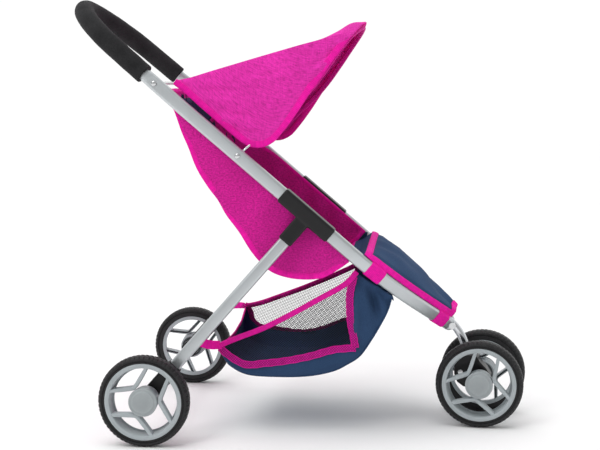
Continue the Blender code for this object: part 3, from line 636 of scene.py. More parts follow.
def edge_tape(name, pts, normals, width, mat, thick=1.7, inward=1.0, uv0=0.0,
              body=None, taper=0.0, ripple=0.0):
    """Binding folded over an edge.  pts is the edge, normals its surface's
    normals; inward is +1 or -1 for which side of the run the cloth lies."""
    n = len(pts)
    h = thick / 2
    # across: from the inner rim of the outer leaf over the edge and back
    prof = [(width, h * 0.55), (width - 0.6, h), (width * 0.5, h * 1.12),
            (0.9, h), (0.15, h * 0.55), (-0.1, 0.0), (0.15, -h * 0.55),
            (0.9, -h), (width * 0.5, -h * 1.12), (width - 0.6, -h),
            (width, -h * 0.55)]
    verts, uvs = [], []
    run = uv0
    for i in range(n):
        a, b = pts[max(i - 1, 0)], pts[min(i + 1, n - 1)]
        t = (b - a).normalized()
        nn = normals[i].normalized()
        d = nn.cross(t).normalized() * inward
        nn = t.cross(d).normalized()
        if nn.dot(normals[i]) < 0:
            nn = -nn
        if i:
            run += (pts[i] - pts[i - 1]).length
        wob = ripple * math.sin(run / MM * 0.9) * math.sin(run / MM * 0.23 + 1)
        for j, (w, k) in enumerate(prof):
            verts.append(pts[i] + d * (w * MM) + nn * ((k + wob) * MM))
            uvs.append((run, j * 0.0012))
    m = len(prof)
    faces = []
    for i in range(n - 1):
        for j in range(m):
            j2 = (j + 1) % m
            faces.append((i * m + j, i * m + j2, (i + 1) * m + j2,
                          (i + 1) * m + j))
    faces.append(tuple(range(m)))
    faces.append(tuple((n - 1) * m + j for j in range(m))[::-1])
    ob = make(name, verts, faces, mat, uvs)
    fix_normals(ob)
    sharp(ob, 50)
    return ob


def stitch_line(name, pts, normals, mat, pitch=3.4, length=2.1, radius=0.28,
                inset=0.0, lift=0.0, inward=1.0):
    """Short thread dashes along a run of points."""
    dense = by_length(pts, max(2, int(sum((b - a).length for a, b in
                                          zip(pts, pts[1:])) / MM / pitch)))
    nd = []
    for p in dense:
        k = min(range(len(pts)), key=lambda i: (pts[i] - p).length_squared)
        nd.append(normals[k].normalized())
    verts, faces = [], []
    for i in range(len(dense) - 1):
        a, b = dense[i], dense[i + 1]
        t = (b - a).normalized()
        d = nd[i].cross(t).normalized() * inward
        nn = nd[i]
        c = (a + b) / 2 + d * inset * MM + nn * lift * MM
        base = len(verts)
        for s, r in ((-length / 2, 0.35), (-length / 4, 1.0), (length / 4, 1.0),
                     (length / 2, 0.35)):
            for q in range(5):
                an = 2 * math.pi * q / 5
                verts.append(c + t * s * MM
                             + (d * math.cos(an) + nn * math.sin(an))
                             * radius * r * MM
                             - nn * (0.0 if abs(s) < length / 3 else 0.12) * MM)
        for s in range(3):
            for q in range(5):
                q2 = (q + 1) % 5
                faces.append((base + s * 5 + q, base + s * 5 + q2,
                              base + (s + 1) * 5 + q2, base + (s + 1) * 5 + q))
        faces.append(tuple(base + q for q in range(5))[::-1])
        faces.append(tuple(base + 15 + q for q in range(5)))
    ob = make(name, verts, faces, mat)
    return ob


def soften(node, name, mat, voxel=0.8, rounds=6, bevel=0.0):
    """A CAD piece remade as a moulding with rounded edges and fillets."""
    src = NODES[node]
    mesh = src.data.copy()
    mesh.name = name
    ob = bpy.data.objects.new(name, mesh)
    bpy.context.scene.collection.objects.link(ob)
    mesh.materials.clear()
    r = ob.modifiers.new("skin", "REMESH")
    r.mode = "VOXEL"
    r.voxel_size = voxel * MM
    r.use_smooth_shade = True
    s = ob.modifiers.new("round", "SMOOTH")
    s.factor = 0.5
    s.iterations = rounds
    apply_mods(ob)
    ob.data.materials.append(mat)
    ob.data.shade_smooth()
    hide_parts(node)
    return ob


def bevelled(node, mat, width=0.5, segments=2):
    """A CAD piece kept as it is, with broken edges and its own material."""
    ob = NODES[node]
    ob.data.materials.clear()
    ob.data.materials.append(mat)
    ob.data.shade_smooth()
    ob.data.set_sharp_from_angle(angle=math.radians(35))
    m = ob.modifiers.new("edges", "BEVEL")
    m.width = width * MM
    m.segments = segments
    m.limit_method = "ANGLE"
    m.angle_limit = math.radians(40)
    return ob


def put(ob, body, slot, *nodes):
    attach(ob, body)
    if nodes:
        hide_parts(*nodes)
    return ob


# ------------------------------------------------- the sloping tube plane
FRAME_ANGLE = math.atan(0.8535)
PLANE = Matrix.Translation(P(0, 0, 477.0)) @ Matrix.Rotation(FRAME_ANGLE, 4, "Y")
PLANE_N = (PLANE.to_3x3() @ Vector((0, 0, 1))).normalized()
PLANE_U = (PLANE.to_3x3() @ Vector((1, 0, 0))).normalized()


def plane_point(u, v, h):
    return PLANE @ Vector((u * MM, v * MM, h * MM))


def plane_coords(x, z):
    c, s = math.cos(FRAME_ANGLE), math.sin(FRAME_ANGLE)
    return x * c - (z - 477.0) * s, x * s + (z - 477.0) * c


def side_coords(u, h):
    """x and z, in mm from the rear axle, of a point of the tube plane."""
    p = plane_point(u, 0, h)
    return p.x / MM + OX, p.z / MM


TUBE_HALF, HANDLE_LEG, HANDLE_LEG_HALF, HANDLE_ARC = 120.5, -60.0, 109.0, 90.0
TUBE_BEND, TUBE_MEET, TUBE_END, NOSE_HALF = 350.0, 523.0, 533.0, 12.3


def tube_half(u):
    if u < 60.0:
        f = (60.0 - u) / (60.0 - HANDLE_LEG)
        return TUBE_HALF - (TUBE_HALF - HANDLE_LEG_HALF) * f ** 1.5
    if u > TUBE_BEND:
        f = min(1.0, (u - TUBE_BEND) / (TUBE_MEET - TUBE_BEND))
        return NOSE_HALF + (TUBE_HALF - NOSE_HALF) * (1.0 - f * f) ** 1.2
    return TUBE_HALF


def handle_line(start, count):
    leg = [(u, -tube_half(u)) for u in
           [start + (HANDLE_LEG - start) * i / 8 for i in range(8)]]
    arc = []
    for i in range(97):
        a = math.pi * (i / 96 - 0.5)
        arc.append((HANDLE_LEG - HANDLE_ARC * math.cos(a) ** 1.14,
                    HANDLE_LEG_HALF * math.copysign(abs(math.sin(a)) ** 1.14, a)))
    pts = leg + arc + [(u, -v) for u, v in reversed(leg)]
    return by_length([plane_point(u, v, 0) for u, v in pts], count)


# ------------------------------------------------------- tubes and handle
def build_tubes():
    flat = oval(11.0, 18.4)
    n = len(flat)
    rnd = []
    for k in range(n):
        a = math.atan2(flat[k][1] / 18.4, flat[k][0] / 11.0)
        rnd.append((8.6 * math.cos(a), 8.6 * math.sin(a)))
    for side, sg in SIDES:
        us = [-27.0, -22.0, -17.0, -12.0, -7.0, -2.0, 3.0, 10.0, 25.0, 60.0,
              120.0, 180.0, 240.0, 300.0, 350.0]
        us += [350.0 + 170.0 * i / 30 for i in range(1, 31)]
        us += [522.5, 524.5, 526.0, 527.5, 528.6, 529.6, 530.4, 530.9, 531.2]
        pts = [plane_point(u, sg * tube_half(min(u, 527.0)), 0) for u in us]

        def prof(i):
            u = us[min(i, len(us) - 1)]
            f = min(1.0, max(0.0, (u + 20.0) / 26.0))
            f = f * f * (3 - 2 * f)
            # a little rounder where the tube bends in to the nose
            g = 0.35 * min(1.0, max(0.0, (u - 360.0) / 60.0))
            # the end is cut to a half round about the bolt
            e = max(0.0, (u - 521.8) / 9.4)
            k = math.sqrt(max(0.02, 1.0 - min(1.0, e) ** 2))
            out = []
            for a, b in zip(rnd, flat):
                w = a[0] * (1 - f) + b[0] * f
                h = a[1] * (1 - f) + b[1] * f
                out.append((w * (1 + 0.10 * g), h * k))
            return out

        ob = sweep("side_tube_" + side, pts, prof, PLANE_N, M["tube"],
                   ends=None)
        put(ob, "frame", "tube_silver", "frame_tube_" + side)

    pts = handle_line(-29.0, 150)
    ob = sweep("handle_core", pts, circle(8.9, 24), PLANE_N, M["tube"])
    put(ob, "frame", "tube_silver", "handle_tube")

    # foam sleeve: soft rounded mouths, slightly uneven girth
    pts = handle_line(-9.0, 210)
    scales = []
    for i, p in enumerate(pts):
        scales.append(1.0 + 0.010 * noise.noise(p * 38.0))
    grip = sweep("foam_grip", pts, circle(13.3, 40), PLANE_N, M["foam"],
                 ends=[(1.2, 0.70), (0.35, 0.74), (0.0, 0.83), (0.15, 0.92),
                       (0.8, 0.975), (2.0, 1.0)], scales=scales)
    for v in grip.data.vertices:
        v.co += Vector((noise.noise(v.co * 90), noise.noise(v.co * 90 + Vector((7, 3, 1))),
                        noise.noise(v.co * 90 + Vector((2, 9, 5))))) * 0.00022
    sharp(grip, 60)
    put(grip, "frame", "foam_black", "handle_grip")


# ------------------------------------------- legs, connectors and mouldings
def leg_frame(sg):
    top, foot = P(208.6, sg * 120.5, 299.0), P(0, sg * 152.0, 60.0)
    ex = (foot - top).normalized()
    ey = (Y_AXIS - ex * Y_AXIS.dot(ex)).normalized()
    return top, foot, ex, ex.cross(ey)


def build_legs():
    for side, sg in SIDES:
        top, foot, ex, ez = leg_frame(sg)
        length = (foot - top).length / MM
        pts = [top + ex * (s * MM) for s in
               (14.0, 30.0, 60.0, 120.0, 180.0, 240.0, length - 21.5)]
        leg = sweep("leg_tube_" + side, pts, oval(10.0, 16.0), ez, M["tube"],
                    ends=[(0.0, 0.8), (0.2, 0.95), (0.9, 1.0)])
        put(leg, "frame", "tube_silver", "rear_leg_" + side)
        ob = soften("connector_" + side, "tee_connector_" + side, M["black"],
                    0.75, 7)
        put(ob, "frame", "moulded_black")
        ob = soften("axle_foot_" + side, "foot_moulding_" + side, M["black"],
                    0.75, 5)
        put(ob, "frame", "moulded_black")
    ob = soften("caster_housing", "caster_moulding", M["black"], 0.7, 5)
    put(ob, "caster", "moulded_black")


def dome(name, centre, axis, r, h, mat, washer=0.0):
    """A domed rivet head standing on a face."""
    verts, faces = [], []
    z = axis.normalized()
    x = z.orthogonal().normalized()
    y = z.cross(x)
    n = 28
    prof = [(r * 1.0, 0.0), (r * 1.0, h * 0.16)]
    for i in range(1, 8):
        a = math.pi / 2 * i / 8
        prof.append((r * math.cos(a) ** 0.8, h * (0.16 + 0.84 * math.sin(a))))
    prof.append((0.001, h))
    for q in range(n):
        a = 2 * math.pi * q / n
        for rr, hh in prof:
            verts.append(centre + (x * math.cos(a) + y * math.sin(a)) * rr * MM
                         + z * hh * MM)
    m = len(prof)
    for q in range(n):
        q2 = (q + 1) % n
        for j in range(m - 1):
            faces.append((q * m + j, q2 * m + j, q2 * m + j + 1, q * m + j + 1))
    faces.append(tuple(q * m for q in range(n))[::-1])
    ob = make(name, verts, faces, mat)
    fix_normals(ob)
    sharp(ob, 50)
    return ob


HOOP = [(119.2, -112.9, 379.6), (126.0, -112.2, 386.0),
        (132.0, -109.2, 391.3), (141.0, -105.0, 399.0),
        (170.0, -103.4, 424.5),
        (199.0, -102.8, 451.0), (219.0, -101.6, 474.0),
        (238.0, -99.2, 500.5), (248.0, -94.3, 515.0),
        (256.0, -86.5, 526.0), (263.5, -71.0, 535.5),
        (269.5, -48.0, 542.5), (273.6, -20.0, 547.3), (274.4, 0.0, 548.2)]


def build_hardware():
    for n in ("handle_rivet_left", "handle_rivet_right", "canopy_rivet_left",
              "canopy_rivet_right", "nose_bolt", "nose_nut", "housing_rivet"):
        bevelled(n, M["steel"], 0.35)
    for n in ("rear_axle", "front_axle"):
        bevelled(n, M["steel"], 0.4)
    # domed heads pressed on the side tubes' outer faces
    xt, zt = side_coords(8.5, 0)
    for side, sg in SIDES:
        for tag, x, z, half in (("handle", xt, zt, tube_half(8.5)),
                                ("canopy", 117.0, 377.0, TUBE_HALF)):
            c = P(x, sg * (half + 5.5 + 1.6), z)
            ob = dome("%s_rivet_head_%s" % (tag, side), c,
                      Vector((0, sg, 0)), 3.5, 1.5, M["steel"])
            put(ob, "frame", "steel_bright")
    rod = tube_half(8.5) - 6.1
    pts = [P(xt, y, zt) for y in np.linspace(-rod, rod, 9)]
    ob = sweep("cross_rod", pts, circle(2.4, 20), Vector((0, 0, 1)), M["steel"])
    put(ob, "frame", "steel_bright", "handle_cross_rod")

    line = [(386.0, 150.6), (394.0, 143.6), (402.1, 136.4), (409.2, 128.6),
            (415.4, 119.0), (420.4, 108.0), (423.3, 96.5), (424.0, 86.0),
            (424.0, 66.0)]
    pts = smooth_line([P(x, 0, z) for x, z in line], 60)
    ob = sweep("caster_stem", pts, circle(6.0, 36), Y_AXIS, M["pipe"],
               ends=[(0.0, 0.8), (0.15, 0.94), (0.8, 1.0)])
    put(ob, "frame", "steel_bright", "caster_pipe")

    half = HOOP
    full = half + [(x, -y, z) for x, y, z in reversed(half[:-1])]
    pts = smooth_line([P(*p) for p in full], 160)
    wire = sweep("hoop_wire", pts, circle(1.6, 14), Vector((0.7, 0, -0.7)),
                 M["steel"])
    eyes = [wire]
    for side, sg in SIDES:
        ring = lathe("hoop_eye_" + side,
                     [(2.1, -1.1), (2.1, 1.1), (2.4, 1.3), (4.3, 1.3),
                      (4.6, 1.0), (4.6, -1.0), (4.3, -1.3), (2.4, -1.3)], 36,
                     M["steel"])
        ring.matrix_world = Matrix.Translation(P(117.0, sg * 113.2, 377.0))
        eyes.append(ring)
    bpy.context.view_layer.update()
    ob = join("canopy_hoop_wire", eyes)
    sharp(ob, 40)
    put(ob, "canopy_hoop", "steel_bright", "canopy_bow")


# -------------------------------------------------------------------- wheels
WHEEL_R, RIM_R, HUB_BACK = 60.0, 50.2, 13.0


def tyre_shape():
    """Half-slick tyre: sidewall grooves, a ribbed tread of small blocks."""
    prof = [(50.7, -8.6), (50.7, 8.6), (51.0, 9.5), (51.9, 9.95), (52.7, 9.8),
            (53.0, 8.6), (54.1, 8.5), (54.5, 9.75), (56.4, 9.8),
            (57.4, 9.4), (58.3, 8.7), (59.2, 7.6), (59.8, 6.2), (60.0, 4.6),
            (60.0, 3.2), (60.0, 1.6), (60.0, 0.8)]
    inner = [(r, -y) for r, y in reversed(prof[3:])]
    prof += inner + [(50.6, -10.05), (47.6, -10.0), (47.0, -9.6), (47.2, -9.2),
                     (50.2, -9.1)]
    steps = 360

    def deform(r, y, a, j):
        if r < 56.9:
            return r, y
        seg = a / (2 * math.pi) * 60
        ay = abs(y)
        # shoulder blocks alternate with narrow slots, the middle has a zigzag
        k = (seg + (0.5 if y < 0 else 0.0)) % 1.0
        slot = 1.0 if k < 0.30 else 0.0
        z = (seg * 0.5 + (0.10 if (seg % 1.0) < 0.5 else -0.10)) % 1.0
        if ay > 5.2:
            depth = 1.15 * slot * min(1.0, (r - 56.9) / 1.3)
        elif ay < 2.0:
            depth = 0.8 * (1.0 if abs((seg % 1.0) - 0.5) < 0.14 else 0.0)
        else:
            depth = 0.9 * (1.0 if (seg + 0.35 * ay / 5.0) % 1.0 < 0.22 else 0.0)
        return r - depth, y

    ob = lathe("tyre_shape", prof, steps, M["tyre"], deform=deform)
    sharp(ob, 32)
    mesh = ob.data
    bpy.data.objects.remove(ob, do_unlink=True)
    return mesh


def rib_points(centre):
    ends = []
    for s in (-1.0, 1.0):
        a = centre + s * math.radians(40.0)
        ends.append(Vector((46.4 * math.cos(a), 46.4 * math.sin(a))))
    mid = Vector((math.cos(centre), math.sin(centre))) * 20.4
    lead = [mid.lerp(e, 0.26) for e in ends]
    knee = [mid * 1.035 + (l - mid) * 0.45 for l in lead]
    pts = [ends[0], lead[0], knee[0], mid * 1.02, knee[1], lead[1], ends[1]]
    fine = through([(p.x, p.y, 0.0) for p in pts], 41)
    # keep the long legs straight between the rim and the bend
    out = [Vector((p.x, p.y)) for p in fine]
    for _ in range(34):
        out = [out[0]] + [(out[i - 1] + out[i] * 2 + out[i + 1]) / 4
                          for i in range(1, len(out) - 1)] + [out[-1]]
    return out


def rib_mesh(k):
    """A chevron rib: a U section with its open side inboard."""
    line = rib_points(math.radians(120.0 * k))
    y_out, y_in, wall = 8.3, -3.2, 1.15
    n = len(line)
    sec = []
    for i, p in enumerate(line):
        a, b = line[max(i - 1, 0)], line[min(i + 1, n - 1)]
        t = (b - a).normalized()
        nv = Vector((-t.y, t.x))
        f = abs(2.0 * i / (n - 1) - 1.0)          # 1 at the rim ends
        half = 2.5 - 0.35 * max(0.0, f - 0.75) / 0.25
        out_y = y_out + 0.9 * max(0.0, f - 0.8) / 0.2
        ring = [(-half, y_in), (-half, out_y - 0.7), (-half + 0.28, out_y - 0.2),
                (-half + 0.8, out_y), (half - 0.8, out_y),
                (half - 0.28, out_y - 0.2), (half, out_y - 0.7), (half, y_in),
                (half - wall, y_in), (half - wall, out_y - 2.2),
                (-half + wall, out_y - 2.2), (-half + wall, y_in)]
        sec.append([Vector((p.x + nv.x * w, y, p.y + nv.y * w)) * MM
                    for w, y in ring])
    m = len(sec[0])
    verts = [v for s in sec for v in s]
    faces = []
    for i in range(n - 1):
        for j in range(m):
            j2 = (j + 1) % m
            faces.append((i * m + j, i * m + j2, (i + 1) * m + j2,
                          (i + 1) * m + j))
    faces.append(tuple(range(m)))
    faces.append(tuple((n - 1) * m + j for j in range(m))[::-1])
    ob = make("rib", verts, faces, M["rim"])
    fix_normals(ob)
    return ob


def rim_shape():
    bed = lathe("rim_bed", [(50.4, 8.4), (50.9, 9.2), (50.6, 10.0),
                            (49.9, 10.25), (46.2, 10.0), (45.2, 9.6),
                            (44.8, 8.9), (44.4, 2.0), (44.1, -6.0),
                            (43.6, -8.4), (42.0, -8.6), (41.8, -9.2),
                            (42.4, -9.7), (47.2, -9.6), (47.4, -9.0),
                            (50.0, -8.8), (50.2, -8.4)], 120, M["rim"])
    hub = lathe("hub", [(3.3, 8.2), (18.0, 8.2), (18.5, 7.6), (18.6, 2.0),
                        (18.0, -5.0), (17.4, -12.0), (16.9, -12.8),
                        (15.2, -12.9), (15.0, -12.4), (15.0, -3.0),
                        (7.2, -3.0), (7.2, -12.6), (6.6, -13.0),
                        (3.3, -13.0)], 72, M["rim"])
    parts = [bed, hub] + [rib_mesh(k) for k in range(3)]
    ob = join("rim_shape", parts)
    sharp(ob, 34)
    mesh = ob.data
    bpy.data.objects.remove(ob, do_unlink=True)
    return mesh


def cap_shape():
    prof = [(0.001, 13.0), (6.0, 13.0), (12.0, 12.95), (14.2, 12.85),
            (14.8, 12.55), (15.1, 12.1), (15.5, 11.85), (17.6, 11.6),
            (18.4, 11.3), (18.9, 10.6), (19.0, 9.9), (19.0, 8.9),
            (6.0, 8.9), (6.0, 10.6), (0.001, 10.6)]
    ob = lathe("cap_shape", prof, 72, M["cap"], closed=True)
    bm = bmesh.new()
    bm.from_mesh(ob.data)
    bmesh.ops.remove_doubles(bm, verts=bm.verts, dist=0.00002)
    bm.to_mesh(ob.data)
    bm.free()
    sharp(ob, 30)
    mesh = ob.data
    bpy.data.objects.remove(ob, do_unlink=True)
    return mesh


def build_wheels():
    rim, tyre, cap = rim_shape(), tyre_shape(), cap_shape()
    turn = Matrix.Rotation(math.radians(-6.0), 4, "Z")
    pin = P(424.0, 0, WHEEL_R)
    places = []
    for side, sg in SIDES:
        places.append(("rear_" + side, P(0, sg * 177.3, WHEEL_R), sg, 0.0,
                       {"right": 3.6, "left": -9.0}[side]))
    for side, sg in SIDES:
        off = turn @ Vector((20.0 * MM, sg * 40.2 * MM, 0))
        places.append(("front_" + side, pin + off, sg, math.radians(-6.0),
                       {"right": 16.4, "left": -25.0}[side]))
    for name, centre, sg, yaw, spin in places:
        base = (Matrix.Translation(centre)
                @ Matrix.Rotation(yaw + (math.pi if sg < 0 else 0.0), 4, "Z"))
        roll = -math.radians(spin) if sg > 0 else -math.radians(180.0 - spin)
        for mesh, suffix, slot, angle in (
                (rim, "rim", "rim_grey", roll), (tyre, "tyre", "tyre_black", roll),
                (cap, "hub_cap", "cap_grey", roll)):
            mesh = mesh.copy()
            mesh.transform(Matrix.Rotation(angle, 4, "Y"))
            ob = bpy.data.objects.new("%s_%s_full" % (name, suffix), mesh)
            bpy.context.scene.collection.objects.link(ob)
            ob.matrix_world = base
            put(ob, name + "_wheel", slot, "%s_%s" % (name, suffix))


# ------------------------------------------------------------------- canopy
CANOPY_LOW = [(29.4, 470.7), (45.3, 458.4), (65.2, 440.6), (85.1, 423.5),
              (105.0, 406.5), (121.0, 393.8), (131.0, 388.6), (142.0, 387.2),
              (150.5, 388.4), (158.0, 391.6)]
CANOPY_RIDGE = [(32.3, 475.2), (51.1, 479.0), (75.2, 486.3), (104.6, 494.9),
                (147.1, 507.2), (197.2, 521.4), (223.1, 528.1),
                (236.1, 531.6), (249.5, 534.5), (262.5, 531.5)]
CANOPY_CREST = [(31.0, 476.4), (51.0, 480.4), (75.0, 487.5), (104.6, 495.5),
                (147.0, 507.0), (197.0, 522.5), (226.0, 535.0),
                (246.0, 546.0), (262.0, 554.8), (279.3, 555.1)]
CANOPY_FRONT = [(158.0, 391.6), (165.9, 397.4), (177.1, 410.6),
                (187.0, 423.7), (196.2, 436.8), (204.7, 449.9),
                (213.2, 462.9), (223.0, 475.9), (232.0, 488.9),
                (241.0, 501.9), (250.6, 514.9), (259.0, 526.7),
                (262.5, 531.5)]


def crease(px, pz, a, b, width, height):
    """A soft fold running from a to b on a panel's side view."""
    ax, az = a
    bx, bz = b
    dx, dz = bx - ax, bz - az
    L = math.hypot(dx, dz)
    t = ((px - ax) * dx + (pz - az) * dz) / (L * L)
    d = ((px - ax) * -dz + (pz - az) * dx) / L
    if t < -0.25 or t > 1.25:
        return 0.0
    end = max(0.0, 1.0 - (2.0 * t - 1.0) ** 2 * 0.8) if -0.1 < t < 1.1 else 0.0
    return height * end * math.exp(-(d / width) ** 2)


CANOPY_CREASES = [((72, 452), (120, 446), 3.4, 2.6),
                  ((84, 437), (140, 427), 3.0, -2.4),
                  ((92, 425), (150, 415), 3.2, 2.7),
                  ((104, 412), (150, 404), 3.0, -2.2),
                  ((60, 465), (110, 462), 3.0, -2.0),
                  ((120, 470), (190, 486), 6.0, 2.0),
                  ((200, 470), (236, 505), 5.0, 2.2),
                  ((215, 490), (255, 528), 4.0, -1.8),
                  ((150, 398), (190, 440), 4.0, 1.0)]


class Canopy:
    low = Line(CANOPY_LOW, even=False)
    ridge = Line(CANOPY_RIDGE, even=False)
    crest = Line(CANOPY_CREST, even=False)
    front = Line(CANOPY_FRONT)
    # share of the girth taken by each side panel
    SIDE = 0.34

    def point(self, s, t, folds=True):
        """s across from the right edge to the left, t rear to front."""
        sg = -1.0 if s < 0.5 else 1.0
        q = s if s < 0.5 else 1.0 - s
        lx, lz = self.low.at(t)
        rx, rz = self.ridge.at(t)
        top_half = 101.5 - 13.5 * t ** 7
        if q <= self.SIDE:
            f = q / self.SIDE
            x, z = lx + (rx - lx) * f, lz + (rz - lz) * f
            fx, fz = self.front.at(f)
            l1, r1 = self.low.at(1.0), self.ridge.at(1.0)
            w = t ** 5
            x += (fx - (l1[0] + (r1[0] - l1[0]) * f)) * w
            z += (fz - (l1[1] + (r1[1] - l1[1]) * f)) * w
            wide = 110.4 - 5.2 * f - 0.8 * t
            g = max(0.0, (f - 0.72) / 0.28) ** 2
            half = wide + (top_half - (wide if g < 1 else wide)) * g
            half += 1.6 * math.sin(math.pi * f) * math.sin(
                math.pi * min(1, t * 1.1))
            if folds:
                for a, b, w_, h_ in CANOPY_CREASES:
                    half += crease(x, z + (3 if sg > 0 else 0), a, b, w_, h_)
                edge = min(1.0, f * 4) * min(1.0, (1 - f) * 5) * min(
                    1.0, t * 6) * min(1.0, (1.02 - t) * 9)
                half += 1.1 * edge * noise.noise(Vector((x, sg * 40, z)) * 0.022)
                half += 0.5 * edge * noise.noise(Vector((x, sg * 90, z)) * 0.06)
            y = sg * half
        else:
            g = (q - self.SIDE) / (0.5 - self.SIDE)
            cx, cz = self.crest.at(t)
            k = math.sin(g * math.pi / 2) ** 0.85
            x, z = rx + (cx - rx) * k, rz + (cz - rz) * k
            y = sg * top_half * (1.0 - g)
            z -= 3.2 * math.sin(math.pi * min(1.0, t * 1.15)) * k if t < 0.87 else 0.0
            if folds:
                z += 0.9 * k * noise.noise(Vector((x, y, 5.0)) * 0.03)
        return P(x, y, z), (x, y, z)


def build_canopy():
    c = Canopy()
    nt = 84
    side = [i / 40 * c.SIDE for i in range(41)]
    mid = [c.SIDE + (1 - 2 * c.SIDE) * i / 52 for i in range(1, 52)]
    ss = side + mid + [1.0 - s for s in reversed(side)]
    rows, uvs = [], []
    for i in range(nt + 1):
        t = i / nt
        row, uv = [], []
        last = None
        run = 0.0
        for s in ss:
            p, raw = c.point(s, t)
            if last is not None:
                rise = abs(p.z - last.z)
                on_side = min(s, 1.0 - s) <= c.SIDE
                run += rise if on_side else (p - last).length
            last = p
            row.append(p)
            uv.append((raw[0] * MM, run))
        rows.append(row)
        uvs.append(uv)
    cloth = grid("canopy_cloth", rows, M["canopy"], uvs, thick=0.8)
    fix_normals(cloth)

    tapes = []
    # side edges: rear corner, round the low corner, up the front, over the top
    def run_points():
        pts, nrm = [], []
        for i in range(0, 100):
            t = i / 100
            p, _ = c.point(0.0, t, False)
            pts.append(p)
            nrm.append(Vector((0, -1, 0)))
        for i in range(0, 81):
            f = i / 80
            p, _ = c.point(f * c.SIDE, 1.0, False)
            pts.append(p)
            nrm.append(Vector((0, -1, 0)))
        n = 60
        for i in range(1, n):
            p, _ = c.point(c.SIDE + (1 - 2 * c.SIDE) * i / n, 1.0, False)
            pts.append(p)
            f = i / n
            nrm.append(Vector((-0.10, -1.0 if f < 0.03 else
                               (1.0 if f > 0.97 else 0.0),
                               1.0 if 0.0 < f < 1.0 else 0.3)))
        for i in range(80, -1, -1):
            f = i / 80
            p, _ = c.point(1.0 - f * c.SIDE, 1.0, False)
            pts.append(p)
            nrm.append(Vector((0, 1, 0)))
        for i in range(99, -1, -1):
            p, _ = c.point(1.0, i / 100, False)
            pts.append(p)
            nrm.append(Vector((0, 1, 0)))
        return pts, nrm

    pts, nrm = run_points()
    # smooth the normals where the run turns over the ridge
    for _ in range(3):
        nrm = [((nrm[max(i - 1, 0)] + nrm[i] * 2 + nrm[min(i + 1, len(nrm) - 1)])
                / 4).normalized() for i in range(len(nrm))]
    keep = [0]
    for i in range(1, len(pts)):
        if (pts[i] - pts[keep[-1]]).length > 0.0016:
            keep.append(i)
    pts, nrm = [pts[i] for i in keep], [nrm[i] for i in keep]
    edge = edge_tape("canopy_edge", pts, nrm, 8.6, M["bright"], thick=2.0,
                     inward=1.0, ripple=0.12)
    st = stitch_line("canopy_edge_stitch", pts, nrm, M["thread"], inset=7.4,
                     lift=1.12, inward=1.0)
    tapes += [edge, st]
    # rear hem across the back
    pts, nrm = [], []
    for i in range(101):
        s = c.SIDE * 0.2 + (1 - 0.4 * c.SIDE) * i / 100
        p, _ = c.point(s, 0.0, False)
        pts.append(p)
        nrm.append(Vector((0, 0, 1)) if 0.3 < s < 0.7 else
                   Vector((0, -1 if s < 0.5 else 1, 0.4)))
    for _ in range(4):
        nrm = [((nrm[max(i - 1, 0)] + nrm[i] * 2 + nrm[min(i + 1, len(nrm) - 1)])
                / 4).normalized() for i in range(len(nrm))]
    hem = edge_tape("canopy_rear_hem", pts, nrm, 8.0, M["bright"], thick=1.9,
                    inward=-1.0)
    tapes.append(hem)
    # casing that holds the hoop wire, sewn inside the front edge, in binding tape darkened as
    # painted shade
    half = HOOP[3:]
    full = half + [(x, -y, z) for x, y, z in reversed(half[:-1])]
    tapes.append(sweep("canopy_casing", smooth_line([P(*q) for q in full], 200),
                       oval(7.2, 5.4), Y_AXIS, M["shaded_tape"]))
    binding = join("canopy_binding", tapes)
    start, end = P(40, 0, 470), P(262, 0, 520)
    for ob, slot in ((cloth, "fabric_pink"), (binding, "binding_pink")):
        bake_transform(ob)
        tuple(start)
        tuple(end)
    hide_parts("canopy_fabric")
    return cloth, binding


# --------------------------------------------------------------------- seat
SEAT_LINE = [(12.5, 463.5), (20.5, 450.5), (30.0, 436.0), (40.0, 408.0),
             (49.0, 387.0), (59.5, 360.0), (74.0, 336.0), (88.0, 317.5),
             (99.0, 298.0), (116.5, 274.5), (134.0, 247.0), (155.5, 224.5),
             (179.5, 215.0), (205.0, 212.5), (227.0, 215.0), (245.0, 224.5),
             (262.0, 236.5)]


